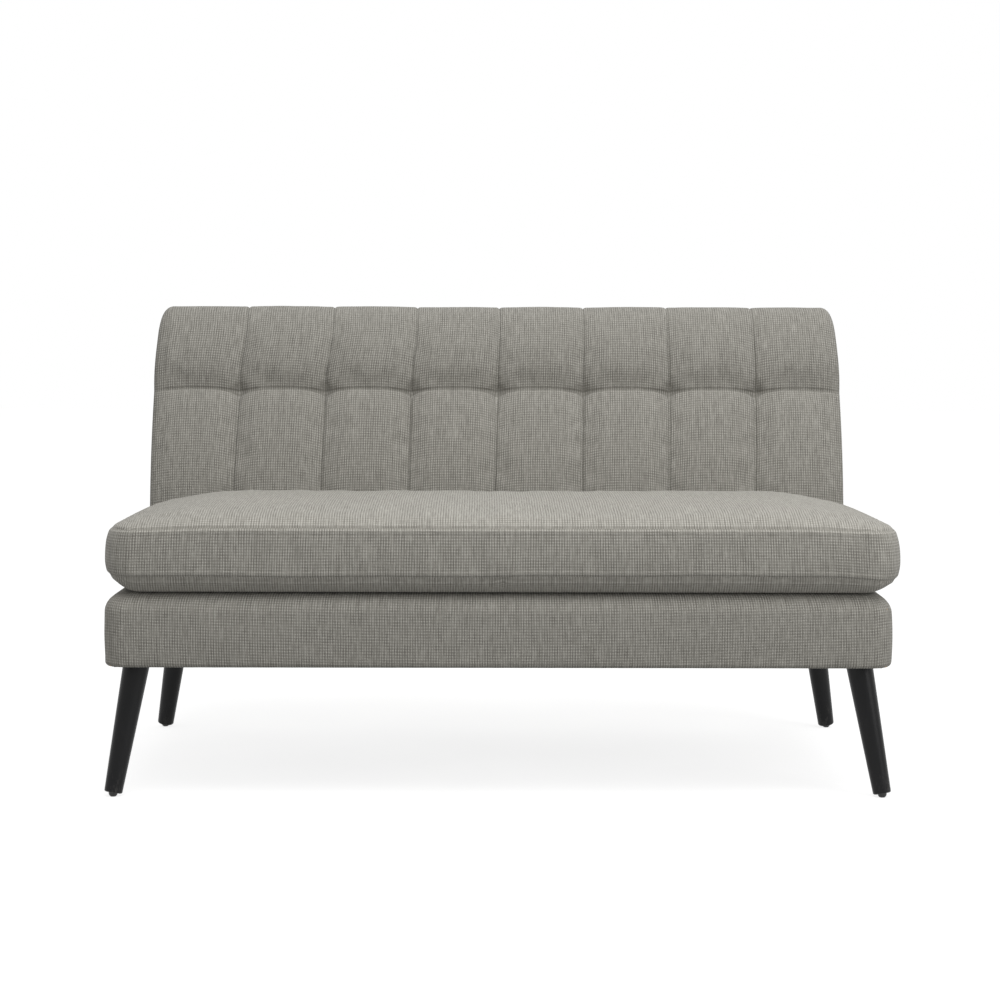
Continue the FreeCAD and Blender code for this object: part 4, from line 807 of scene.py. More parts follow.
class QuiltForm:
    """The tufted front of the back as a lattice: rows up the profile, columns along the sofa."""

    def __init__(self, back, step, fine):
        self.back = back
        self.seams = [back.seam_spacing * i for i in range(-3, 4)]
        self.across = self.make_columns(step, fine)
        self.shares = self.make_rows(step, fine)

    def make_columns(self, step, fine):
        """X before the seams' drift, closer together beside each seam, with the curled ends."""
        half = self.back.half_width
        shoulder = half - SIDE_ROUND
        stops = [-shoulder] + self.seams + [shoulder]
        xs = [stops[0]]
        for low, high in zip(stops, stops[1:]):
            width = high - low
            count = int(round(width / step))
            even = np.linspace(0, 1, count + 1)[1:]
            crowd = even - (fine * np.sin(2 * math.pi * even) / (2 * math.pi))
            xs.extend(low + width * crowd)
        turns = np.linspace(0, 1, max(4, int(SIDE_ROUND * 1.6 / step)) + 1)[1:]
        turned_in = np.array([1.06, 1.18])
        reach = np.concatenate([turns, turned_in])
        left = [-shoulder - t for t in reach[::-1]]
        right = [shoulder + t for t in reach]
        kinds = [(-1, -shoulder - x) for x in left] + [(0, x) for x in xs]
        return np.array(kinds + [(1, x - shoulder) for x in right])

    def make_rows(self, step, fine):
        """Segment number and share of each row: straight foot, lower arc, upper arc, crown."""
        rows = []
        for segment, length in enumerate((0.079, 0.237, 0.137, 0.122)):
            count = int(round(length / step))
            even = np.linspace(0, 1, count + 1)
            even = even if segment == 0 else even[1:]
            if segment in (1, 2):
                bias = -1 if segment == 1 else 1
                even = even - bias * fine * 0.5 * np.sin(math.pi * even) / math.pi
            rows.extend((segment, share) for share in even)
        return np.array(rows)

    def points(self):
        """Positions, walked widths and heights above the row of tufts, and that row's number."""
        back = self.back
        shoulder = back.half_width - SIDE_ROUND
        kind, amount = self.across[:, 0], self.across[:, 1]
        end = kind != 0
        turn = np.clip(np.where(end, amount, 0.0), 0, 1) * math.pi / 2
        tuck = np.where(end, np.clip(amount - 1, 0, 1), 0.0)
        nominal = np.where(end, kind * (shoulder + SIDE_ROUND * np.sin(turn)), amount)
        fall = 1 - np.cos(turn)
        sink = SIDE_SINK * fall + tuck * TUCK
        drop = CORNER_DROP * fall + tuck * TUCK
        inward = tuck * TUCK * kind
        rear_y = rear_plane(TOP_EDGE)
        q = self.panel_phase(nominal)
        full = 1 - np.abs(q) ** 2.4
        lift = ROW_LIFT * full
        n = len(nominal)
        zero = np.zeros(n)
        spots = [
            np.stack([QUILT_FRONT + sink, zero + QUILT_LOW], -1),
            np.stack([QUILT_FRONT + sink, zero + BEND_HEIGHT], -1),
            np.stack([ROW_FRONT + sink, back.tuft_height - 0.003 + lift], -1),
            np.stack([TOP_FRONT + sink - drop * FRONT_SLOPE, TOP_EDGE - drop], -1),
            np.stack([rear_y - drop * REAR_SLOPE - tuck * 0.02, TOP_EDGE - drop], -1),
        ]
        middles = [
            (spots[0] + spots[1]) / 2,
            (spots[1] + spots[2]) / 2 + np.array([-PANEL_SWELL, PANEL_SWELL * 0.3]),
            (spots[2] + spots[3]) / 2 + np.array([-PANEL_SWELL * 0.8, PANEL_SWELL * 0.25]),
            (spots[3] + spots[4]) / 2 + np.stack([zero, zero + (BACK_TOP - TOP_EDGE) - sink * 0.6], -1),
        ]
        yz = np.zeros((len(self.shares), n, 2))
        for number in range(4):
            rows = self.shares[:, 0] == number
            first, middle, last = spots[number], middles[number], spots[number + 1]
            part = self.shares[rows, 1][:, None]
            if number == 0:
                yz[rows] = first[None] + (last - first)[None] * part[..., None]
            else:
                yz[rows] = arc_through(first[None], middle[None], last[None], part)
        x = np.broadcast_to(nominal - inward, yz.shape[:2])
        base = np.stack([x, yz[..., 0], yz[..., 1]], -1)
        height = run_length(base, 0)
        row_index = int(np.flatnonzero((self.shares[:, 0] == 1) & (self.shares[:, 1] == 1))[0])
        rise = height - height[row_index][None]
        width = np.broadcast_to(nominal, base.shape[:2]).copy()
        place = base.copy()
        place[..., 0] += self.drift(nominal, rise)
        place[..., 0] *= 1 - TOP_TAPER * smoothstep(place[..., 2], 0.66, 0.78)
        ends = smoothstep(np.abs(nominal), shoulder + 0.016, shoulder - 0.004)
        depth = self.relief(nominal, rise) * ends[None]
        place -= lattice_normals(base) * depth[..., None]
        return place, width, rise, row_index

    def panel_phase(self, x):
        """-1 to 1 across each panel, the end panels included."""
        spacing = self.back.seam_spacing
        return 2 * (x / spacing - np.floor(x / spacing)) - 1

    def nearest_seam(self, x):
        """Distance to the nearest upright seam, with its sign, and that seam's number."""
        number = np.clip(np.round(x / self.back.seam_spacing), -3, 3)
        return x - number * self.back.seam_spacing, number.astype(int) + 3

    def drift(self, x, rise):
        """Sideways stray of the sewn seams, faded out towards the ends."""
        xs = [-self.back.half_width] + self.seams + [self.back.half_width]
        top = np.interp(x, xs, [0] + SEAM_TOP_DRIFT + [0]) * MM
        foot = np.interp(x, xs, [0] + SEAM_FOOT_DRIFT + [0]) * MM
        return top[None] * smoothstep(rise, 0.0, 0.13) + foot[None] * smoothstep(-rise, 0.0, 0.2)

    def relief(self, x, rise):
        """How far the cloth sinks along the seams, at the tufts and in the pinches above them."""
        back = self.back
        off, number = self.nearest_seam(x)
        off = off[None]
        near = np.abs(off)
        above, below = np.maximum(rise, 0), np.maximum(-rise, 0)
        span = smoothstep(rise, 0.16, 0.02) * smoothstep(rise, -0.33, -0.24)
        valley, edge, thread = 0.022, 0.0045, 0.0017
        broad = back.seam_depth * (0.12 + 0.63 * span) * np.exp(-((near / valley) ** 1.25))
        sharp = 0.0014 * np.exp(-((near / edge) ** 2)) + 0.0034 * np.exp(-((near / thread) ** 2))
        seam = broad + sharp * (0.6 + 0.4 * span)
        full = 1 - np.abs(self.panel_phase(x))[None] ** 3
        row_above = 0.0018 * np.exp(-((above / 0.016) ** 1.2))
        row_below = 0.0028 * np.exp(-((below / 0.010) ** 1.15))
        row = np.where(rise >= 0, row_above, row_below) * (0.6 + 0.4 * full)
        groove = 0.0030 * np.exp(-((rise / 0.0021) ** 2))
        sizes = 1 + 0.12 * np.sin(number * 2.3 + 0.7)[None]
        spread = np.where(rise >= 0, 0.013, 0.008)
        tuft = back.tuft_depth * sizes * np.exp(-((near / 0.010) ** 1.35))
        tuft = tuft * np.exp(-((np.abs(rise) / spread) ** 1.2))
        right = np.maximum(off, 0)
        left = np.maximum(-off, 0)
        fold = np.exp(-right / 0.009) * (right > 0)
        fold = fold + 0.25 * np.exp(-left / 0.004) * (left >= 0) * (right <= 0)
        pinch = 0.0075 * fold * np.exp(-((above / 0.022) ** 1.5)) * (rise >= -0.001)
        crease = 0.0026 * np.exp(-((rise / 0.003) ** 2)) * np.exp(-((near / 0.028) ** 2))
        total = seam + row + groove + tuft + pinch + crease
        return back.deepest * np.tanh(total / back.deepest)


def settle_quilt(back):
    """How slack cloth moves between its sewn seams, on an even coarse lattice."""
    coarse = QuiltForm(back, 0.0072, 0.0)
    points, _, _, row = coarse.points()
    off, _ = coarse.nearest_seam(coarse.across[:, 1])
    pinned = np.zeros(points.shape[:2], dtype=bool)
    pinned[:, coarse.across[:, 0] != 0] = True
    pinned[:, np.abs(off) < 0.0005] = True
    pinned[row] = True
    pinned[[0, 1, -1]] = True
    faces = lattice_faces(*points.shape[:2])
    moved = relax(points, faces, pinned, back.slack, 1.2, 14, 0.0065)
    return coarse, blurred(moved, 1)


class SOFA_OT_back_quilt(bpy.types.Operator):
    """Sew the tufted front of the back over its padding"""
    bl_idname = "sofa.back_quilt"
    bl_label = "Tufted back"

    def execute(self, context):
        back = context.scene.sofa_back
        coarse, moved = settle_quilt(back)
        form = QuiltForm(back, 0.0042, 0.72)
        points, width, rise, _ = form.points()
        column_at = np.interp(
            form.across[:, 0] * 10 + form.across[:, 1], coarse.across[:, 0] * 10 + coarse.across[:, 1],
            np.arange(len(coarse.across)))
        row_at = np.interp(
            form.shares.sum(axis=1), coarse.shares.sum(axis=1), np.arange(len(coarse.shares)))
        flatter = 0.12 + 0.5 * smoothstep(rise, 0.17, 0.07)
        points = points + resampled(moved, row_at, column_at) * flatter[..., None]
        normal = lattice_normals(points)
        uneven = lattice_noise(3, width, rise, 0.075, 0.09) * 0.0009
        uneven = uneven + lattice_noise(5, width, rise, 0.028, 0.034) * 0.0003
        off, _ = form.nearest_seam(form.across[:, 1])
        inner = smoothstep(np.abs(points[..., 0]), 0.64, 0.60)
        beside = np.exp(-((np.abs(off)[None] - 0.006) / 0.005) ** 2) * inner
        wander = lattice_noise(8, width, rise, 0.05, 0.03) * 3
        pucker = beside * np.sin(rise * 2 * math.pi / 0.017 + wander) * 0.00035
        points = points + normal * (uneven * inner + pucker)[..., None]
        tail = points[-1:] + np.array([0.0, -0.002, -0.006])
        points = np.concatenate([points, tail])
        uv = np.stack([width, rise], -1)
        uv = np.concatenate([uv, uv[-1:] + np.array([0.0, 0.006])])
        faces = lattice_faces(*points.shape[:2])
        quilt = make_piece("back_quilt", points, faces, uv, "Back linen", "sofa")
        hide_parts("back_front_cover", "back_wadding")
        return {"FINISHED"}


class SOFA_OT_back_sides(bpy.types.Operator):
    """Pad the two sides of the back"""
    bl_idname = "sofa.back_sides"
    bl_label = "Sides of the back"

    def execute(self, context):
        for side, word in ((-1, "left"), (1, "right")):
            pad = self.side_pad(side, "back_%s_side_pad" % word)
            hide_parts("back_%s_side_cover" % word)
        return {"FINISHED"}

    def side_pad(self, side, name):
        """A crowned pad with a turned-in edge; side is -1 on the left and 1 on the right."""
        cap = 0.7435
        heights = spaced(QUILT_LOW, cap, 0.0065)
        heights = np.concatenate([heights[:-1], cap - 0.0065 * np.array([0.7, 0.45, 0.25, 0.1, 0.0])])
        front = 0.1915 + np.maximum(heights - BEND_HEIGHT, 0) * FRONT_SLOPE
        rear = rear_plane(heights) - 0.0016
        to_top = np.clip((cap - heights) / 0.022, 0, 1)
        corner = 1 - np.sqrt(1 - (1 - to_top) ** 2)
        front = front + 0.024 * corner
        rear = rear - 0.014 * corner
        share = np.linspace(0, 1, 31)
        share = share - 0.78 * np.sin(2 * math.pi * share) / (2 * math.pi)
        y = front[:, None] + (rear - front)[:, None] * share[None]
        z = np.broadcast_to(heights[:, None], y.shape)
        near = np.minimum(np.minimum(y - front[:, None], rear[:, None] - y), cap - z)
        near = np.maximum(near, 0)
        edge = rounded(near, 0.007)
        crown = 0.0035 * smoothstep(near, 0.0, 0.075)
        uneven = lattice_noise(11 + side, y, z, 0.07, 0.08) * 0.0008
        lip = 0.0012 * np.sin(z * 2 * math.pi / 0.019) * np.exp(-((near - 0.010) / 0.006) ** 2)
        turned_edge = (0.0097 - 0.005 * smoothstep(z, 0.66, 0.78)) * edge
        x = side * (0.6340 + turned_edge + crown + uneven * edge + lip * 0.3)
        arch = 0.012 * np.clip(1 - ((y - 0.341) / 0.052) ** 2, 0, 1) * smoothstep(z, 0.700, cap)
        points = np.stack([x, y, z + arch], -1)
        uv = np.stack([y, z], -1)
        faces = lattice_faces(*points.shape[:2], flip=side < 0)
        return make_piece(name, points, faces, uv, "Back linen", "sofa")


class SOFA_OT_back_rear(bpy.types.Operator):
    """Stretch the plain cloth over the rear of the back"""
    bl_idname = "sofa.back_rear"
    bl_label = "Rear of the back"

    def execute(self, context):
        half, top = 0.6415, TOP_EDGE - 0.0005
        columns = spaced(-half, half, 0.008)
        low = QUILT_LOW - 0.012
        rows = spaced(low, top, 0.008)
        x, z = np.meshgrid(columns, rows)
        across, down = 0.027, 0.031
        past = np.clip((np.abs(x) - (half - across)) / across, 0, 1)
        limit = top - down * (1 - np.sqrt(1 - past ** 2))
        z = low + (z - low) * (limit - low) / (top - low)
        near = np.minimum(np.minimum(half - np.abs(x), limit - z), z - low)
        near = np.maximum(near, 0)
        edge = 1 - rounded(near, 0.006)
        hollow = 0.0016 * smoothstep(near, 0.0, 0.09)
        ridge = 0.0012 * (np.exp(-((np.abs(x) - 0.205) / 0.012) ** 2) + np.exp(-((z - 0.646) / 0.03) ** 2))
        tension = 0.0007 * np.exp(-near / 0.035) * np.sin((x + z) * 2 * math.pi / 0.032)
        uneven = lattice_noise(21, x, z, 0.11, 0.1) * 0.0006
        y = rear_plane(z) + 0.0012 - 0.0035 * edge - hollow + ridge + tension + uneven
        points = np.stack([x, y, z], -1)
        faces = lattice_faces(*points.shape[:2], flip=True)
        uv = np.stack([x, z], -1)
        rear = make_piece("back_rear_sheet", points, faces, uv, "Back linen", "sofa")
        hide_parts("back_rear_cover")
        return {"FINISHED"}


# The seat base

def corner_loop(half, front, rear, reach_x, reach_y, straight, side, turn):
    """A rectangle in plan with elliptical corners, anticlockwise from the front left corner's end.

    straight, side and turn are the numbers of steps along the front, along a side and round a corner."""
    angle = np.linspace(0, math.pi / 2, turn + 1)[1:]
    even_x = np.linspace(0, 1, straight + 1)[1:]
    even_y = np.linspace(0, 1, side + 1)[1:]
    left, right = reach_x - half, half - reach_x
    low, high = front + reach_y, rear - reach_y
    parts = [
        np.stack([left + (right - left) * even_x, np.full(straight, front)], -1),
        np.stack([right + reach_x * np.sin(angle), low - reach_y * np.cos(angle)], -1),
        np.stack([np.full(side, half), low + (high - low) * even_y], -1),
        np.stack([right + reach_x * np.cos(angle), high + reach_y * np.sin(angle)], -1),
        np.stack([right + (left - right) * even_x, np.full(straight, rear)], -1),
        np.stack([left - reach_x * np.sin(angle), high + reach_y * np.cos(angle)], -1),
        np.stack([np.full(side, -half), high + (low - high) * even_y], -1),
        np.stack([left - reach_x * np.cos(angle), low - reach_y * np.sin(angle)], -1),
    ]
    return np.concatenate(parts)


class SOFA_OT_base_cover(bpy.types.Operator):
    """Wrap the padded seat base in cloth, hemmed below and round the deck"""
    bl_idname = "sofa.base_cover"
    bl_label = "Seat base"

    def execute(self, context):
        base = context.scene.sofa_base
        # Inset from the base's outline and height of each ring, from the deck outwards and down
        profile = [(0.0640, base.top - 0.0022), (0.0615, base.top - 0.0004), (0.055, base.top)]
        angles = np.linspace(0, math.pi / 2, 13)
        reach, fall, hem_round, face_ring = 0.040, 0.034, 0.008, 18
        profile += [(reach * (1 - math.sin(a)), base.top - fall * (1 - math.cos(a))) for a in angles]
        for share in np.linspace(0, 1, 15)[1:-1]:
            z = base.top - fall + (base.low + hem_round - base.top + fall) * share
            profile.append((-0.0012 * math.sin(math.pi * share), z))
        for a in np.linspace(0, math.pi / 2, 7):
            profile.append((hem_round * (1 - math.cos(a)), base.low + hem_round * (1 - math.sin(a))))
        profile += [(0.014, base.low + 0.0001), (0.022, base.low + 0.0003), (0.0305, base.low + 0.0006)]
        rings = []
        for inset, z in profile:
            corner = max(0.034 - inset * 0.75, 0.006)
            # The inner rings run forward under the back's foot
            under_back = 0.103 * float(smoothstep(inset, 0.042, 0.055))
            ring = corner_loop(
                base.half_width - inset, base.front + inset, base.rear - inset - under_back, corner, corner,
                156, 82, 10)
            rings.append(np.concatenate([ring, np.full((len(ring), 1), z)], axis=1))
        points = np.array(rings)
        outer = points[face_ring]
        walk = walked(outer)
        u = np.broadcast_to(walk, points.shape[:2])
        v = -run_length(points, 0)
        normal = lattice_normals(points, closed=True, flip=True)
        face = smoothstep(points[..., 2], base.low + 0.002, base.low + 0.02)
        face = face * smoothstep(points[..., 2], base.top - 0.0005, base.top - 0.015)
        uneven = lattice_noise(31, u, v, 0.13, 0.06) * 0.0011 + lattice_noise(33, u, v, 0.05, 0.04) * 0.0004
        hem = np.exp(-((points[..., 2] - base.low - 0.009) / 0.006) ** 2)
        drawn = hem * np.sin(u * 2 * math.pi / 0.042 + lattice_noise(35, u, v, 0.2, 0.2)) * 0.0004
        points = points + normal * (uneven * face + drawn)[..., None]
        whole = walk[-1] + np.linalg.norm(outer[0] - outer[-1])
        closing, uv = close_ring(points, np.stack([u, v], -1), whole)
        faces = lattice_faces(*closing.shape[:2], flip=True)
        cover = make_piece("seat_base_wrap", closing, faces, uv, "Base linen", "sofa")
        weld(cover)
        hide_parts("seat_base_cover", "seat_base_padding")
        return {"FINISHED"}


def weld(piece):
    """Join points that lie on each other, where a lattice closes on itself."""
    work = bmesh.new()
    work.from_mesh(piece.data)
    bmesh.ops.remove_doubles(work, verts=work.verts, dist=1e-5)
    work.to_mesh(piece.data)
    work.free()


class SOFA_OT_deck(bpy.types.Operator):
    """Lay the lined deck pad that the cushion rests on"""
    bl_idname = "sofa.deck"
    bl_label = "Deck under the cushion"

    def execute(self, context):
        base = context.scene.sofa_base
        half, front, rear = base.half_width - 0.019, base.front + 0.019, 0.165
        x, y = np.meshgrid(spaced(-half, half, 0.012), spaced(front, rear, 0.012))
        near = np.minimum(half - np.abs(x), np.minimum(y - front, rear - y))
        edge = rounded(near, 0.028)
        inner = smoothstep(near, 0.046, 0.060)
        z = 0.3275 + 0.0100 * edge + 0.0015 * inner + lattice_noise(41, x, y, 0.09, 0.09) * 0.0004 * inner
        points = np.stack([x, y, z], -1)
        faces = lattice_faces(*points.shape[:2])
        deck = make_piece("deck_pad", points, faces, np.stack([x, y], -1), "Deck lining", "sofa")
        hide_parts("deck_cloth", "deck_foam")
        return {"FINISHED"}


class SOFA_OT_dust_cover(bpy.types.Operator):
    """Staple the dust cloth under the base"""
    bl_idname = "sofa.dust_cover"
    bl_label = "Dust cover"

    def execute(self, context):
        base = context.scene.sofa_base
        half, front, rear = base.half_width - 0.017, base.front + 0.017, base.rear - 0.017
        x, y = np.meshgrid(spaced(-half, half, 0.010), spaced(front, rear, 0.010))
        near = np.minimum(half - np.abs(x), np.minimum(y - front, rear - y))
        sag = 0.0035 * smoothstep(near, 0.02, 0.2)
        folds = 0.0009 * np.exp(-((near - 0.03) / 0.03) ** 2) * np.sin((x + y * 0.7) * 2 * math.pi / 0.046)
        leg_x, leg_y, middle = 0.597, 0.298, -0.015
        leg = np.hypot(np.abs(x) - leg_x, np.abs(y - middle) - leg_y)
        pressed = smoothstep(leg, 0.04, 0.09)
        hang = sag + folds + lattice_noise(51, x, y, 0.12, 0.1) * 0.001
        z = base.low - 0.0007 - hang * pressed * smoothstep(near, 0.0, 0.02)
        points = np.stack([x, y, z], -1)
        faces = lattice_faces(*points.shape[:2], flip=True)
        uv = np.stack([x, y], -1)
        cloth = make_piece("dust_cloth", points, faces, uv, "Dust cloth", "sofa", smooth=0)
        thick = cloth.modifiers.new("Thickness", "SOLIDIFY")
        thick.thickness = 0.0005
        thick.offset = 0
        apply_modifiers(cloth)
        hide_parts("dust_cover")
        self.staples(half - 0.007, front + 0.007, rear - 0.007, base)
        return {"FINISHED"}

    def staples(self, half, front, rear, base):
        """Wire staples along the four edges, as one piece."""
        points, faces, uv = [], [], []
        length, wire, sides = 0.0105, 0.0006, 6
        places = []
        for x in spaced(-half + 0.03, half - 0.03, base.staple_pitch):
            places += [(x, front, 0.0), (x, rear, 0.0)]
        for y in spaced(front + 0.03, rear - 0.03, base.staple_pitch):
            places += [(-half, y, math.pi / 2), (half, y, math.pi / 2)]
        for number, (x, y, turn) in enumerate(places):
            turn += 0.12 * math.sin(number * 3.7)
            along = np.array([math.cos(turn), math.sin(turn), 0.0])
            side = np.array([-math.sin(turn), math.cos(turn), 0.0])
            up = np.array([0.0, 0.0, 1.0])
            line = [
                (-0.5, 0.002), (-0.5, 0.0003), (-0.44, -0.0003), (0.44, -0.0003), (0.5, 0.0003), (0.5, 0.002)]
            start = len(points)
            for reach, rise in line:
                centre = np.array([x, y, base.low - 0.0014]) + along * reach * length + up * rise
                for k in range(sides):
                    turned = k * math.pi / 3
                    spot = centre + side * wire * math.cos(turned)
                    points.append(spot + up * wire * math.sin(turned) * 0.8)
                    uv.append((reach * length, k * wire))
            for i in range(len(line) - 1):
                for k in range(sides):
                    a, b = start + i * sides + k, start + i * sides + (k + 1) % sides
                    faces.append((a, b, b + sides, a + sides))
        make_piece(
            "dust_cloth_staples", np.array(points), faces, uv, "Zinc plated steel", "sofa",
            smooth=0)


# The bench cushion

class CushionForm:
    """Top panel, boxing band and bottom panel that share their seam loops."""
    along, deep = 300, 84

    def __init__(self, cushion):
        """Half width, front, rear and corner reaches of the upper and lower seam, in metres."""
        self.cushion = cushion
        self.high = (0.6435, -0.3925, 0.1615, 0.052, 0.080)
        self.low = (0.6475, -0.3925, 0.1615, 0.048, 0.074)
        self.upper = self.loop(self.high)
        self.lower = self.loop(self.low)

    def loop(self, sizes):
        """Seam outline from the middle of its front left corner, with points crowded near the corners."""
        half, front, rear, reach_x, reach_y = sizes
        straight, side, turn = 400, 160, 60
        fine = corner_loop(half, front, rear, reach_x, reach_y, straight, side, turn)
        fine = np.roll(fine, turn // 2 + 1, axis=0)
        fine = np.concatenate([fine, fine[:1]])
        walk = walked(fine)
        long, short = straight + turn, side + turn
        turns = [0, long, long + short, 2 * long + short, 2 * (long + short)]
        sides = zip(turns, turns[1:], (self.along, self.deep) * 2, (0.35, 0.62) * 2)
        ring = []
        for first, last, count, crowd in sides:
            even = np.arange(count) / count
            even = even - crowd * np.sin(2 * math.pi * even) / (2 * math.pi)
            at = walk[first] + (walk[last] - walk[first]) * even
            ring.append(np.stack([np.interp(at, walk, fine[:, k]) for k in (0, 1)], -1))
        return np.concatenate(ring)

    def seam_heights(self, xy, top):
        """Height of a seam along its outline: the ends droop a little."""
        cushion = self.cushion
        x, y = xy[:, 0], xy[:, 1]
        if top:
            rearward = (y + 0.392) / 0.555
            return cushion.top_seam - (0.004 + 0.008 * rearward) * smoothstep(np.abs(x), 0.47, 0.64)
        wander = 0.0011 * np.sin(x * 5.0) + 0.0006 * np.sin(x * 23.0)
        return cushion.low_seam - 0.007 * smoothstep(x, 0.52, 0.64) + wander

    def patch(self, ring):
        """Spread a panel between the four sides of its outline and even out its lattice."""
        a, d = self.along, self.deep
        front, right = ring[: a + 1], ring[a : a + d + 1]
        rear = ring[a + d : 2 * a + d + 1][::-1]
        left = np.concatenate([ring[2 * a + d :], ring[:1]])[::-1]
        u = (front[:, :1] - front[0, 0]) / (front[-1, 0] - front[0, 0])
        v = (left[:, 1:2] - left[0, 1]) / (left[-1, 1] - left[0, 1])
        u, v = u[None], v[:, None]
        flat = (1 - v) * front[None] + v * rear[None] + (1 - u) * left[:, None] + u * right[:, None]
        corners = (1 - u) * (1 - v) * ring[0] + u * (1 - v) * ring[a] + u * v * ring[a + d]
        corners = corners + (1 - u) * v * ring[2 * a + d]
        made = flat - corners
        half, front_y, rear_y = self.high[:3]
        for _ in range(60):
            mean = (made[:-2, 1:-1] + made[2:, 1:-1] + made[1:-1, :-2] + made[1:-1, 2:]) / 4
            corner = smoothstep(np.abs(mean[..., 0]), half - 0.12, half - 0.05)
            to_seam = np.minimum(mean[..., 1] - front_y, rear_y - mean[..., 1])
            corner = corner * smoothstep(to_seam, 0.16, 0.08)
            made[1:-1, 1:-1] += (mean - made[1:-1, 1:-1]) * corner[..., None]
        return made

    def borders(self, x, y, sizes):
        """Distances in plan to the front or rear seam and to the end seam."""
        half, front, rear, reach_x, reach_y = sizes
        past = np.clip((np.abs(x) - half + reach_x) / reach_x, 0, 1)
        shrink = reach_y * (1 - np.sqrt(1 - past ** 2))
        near = np.clip(np.minimum(y - front, rear - y) - shrink, 0, None)
        ahead = np.clip((np.maximum(front + reach_y - y, y - rear + reach_y)) / reach_y, 0, 1)
        to_end = half - reach_x * (1 - np.sqrt(1 - ahead ** 2)) - np.abs(x)
        return near, np.clip(to_end, 0, None)

    def top_panel(self):
        """Crowned top, with the distances to its seams."""
        xy = self.patch(self.upper)
        x, y = xy[..., 0], xy[..., 1]
        near, to_end = self.borders(x, y, self.high)
        seam = self.seam_heights(np.stack([x.ravel(), y.ravel()], -1), True).reshape(x.shape)
        shoulder = 0.62 * (1 - (1 - np.clip(near / 0.05, 0, 1)) ** 2.1)
        gentle = 0.38 * (1 - (1 - np.clip(near / 0.277, 0, 1)) ** 2)
        along = 1 - np.clip((np.abs(x) - 0.44) / (self.high[0] - 0.44), 0, 1) ** 2.3
        rise = self.cushion.crown * (shoulder + gentle) * along
        rise = rise + 0.006 * (1 - (1 - np.clip(np.minimum(near, to_end) / 0.022, 0, 1)) ** 2) * (1 - along)
        return np.stack([x, y, seam + rise], -1), near, to_end

    def bottom_panel(self):
        """Flat underside that rises to its seam, with the distances to the seams."""
        xy = self.patch(self.lower)
        x, y = xy[..., 0], xy[..., 1]
        near, to_end = self.borders(x, y, self.low)
        seam = self.seam_heights(np.stack([x.ravel(), y.ravel()], -1), False).reshape(x.shape)
        fall = (1 - np.clip(near / 0.028, 0, 1)) ** 2.0
        end_fall = (1 - np.clip(to_end / 0.046, 0, 1)) ** 2.2
        share = np.maximum(fall, end_fall)
        z = self.cushion.underside + (seam - self.cushion.underside) * share
        return np.stack([x, y, z], -1), near, to_end

    def band(self, rows=24):
        """Bulging band between the two seams, and how far down it each row lies."""
        high = np.concatenate([self.upper, self.seam_heights(self.upper, True)[:, None]], axis=1)
        low = np.concatenate([self.lower, self.seam_heights(self.lower, False)[:, None]], axis=1)
        even = np.linspace(0, 1, rows + 1)
        t = (even - 0.6 * np.sin(2 * math.pi * even) / (2 * math.pi))[:, None, None]
        flat = high[None] * (1 - t) + low[None] * t
        outward = lattice_normals(flat, closed=True, flip=True)
        outward[..., 2] = 0
        ends = np.abs(outward[..., 0]) ** 1.5
        bulge = (0.0025 + 0.0060 * ends) * (1 - np.abs(2 * t[..., 0] - 1) ** 3.2)
        bulge = bulge * np.where(outward[..., 1] > 0.5, 0.35, 1.0)
        return flat + outward * bulge[..., None], t[..., 0]


BAND_HEIGHT = 80 * MM


def welt(distance):
    """A sewn edge: the cloth dips into the seam and the turned-in edge lifts it beside."""
    dip, ridge = 0.0017, 0.0009
    lifted = ridge * np.exp(-(((distance - 0.0058) / 0.0030) ** 2))
    return lifted - dip * np.exp(-((distance / 0.0024) ** 2))


def seam_pucker(near, along, seed):
    """Small gathers beside a sewn seam."""
    reach, pitch, depth = 0.012, 0.0125, 0.00028
    wander = lattice_noise(seed, along, near, 0.06, 0.5) * 2.2
    size = 0.55 + 0.45 * lattice_noise(seed + 1, along, near, 0.04, 0.5)
    fade = np.exp(-((near - reach * 0.45) / reach) ** 2) * smoothstep(near, 0.0, 0.003)
    return depth * size * fade * np.sin(along * 2 * math.pi / pitch + wander)


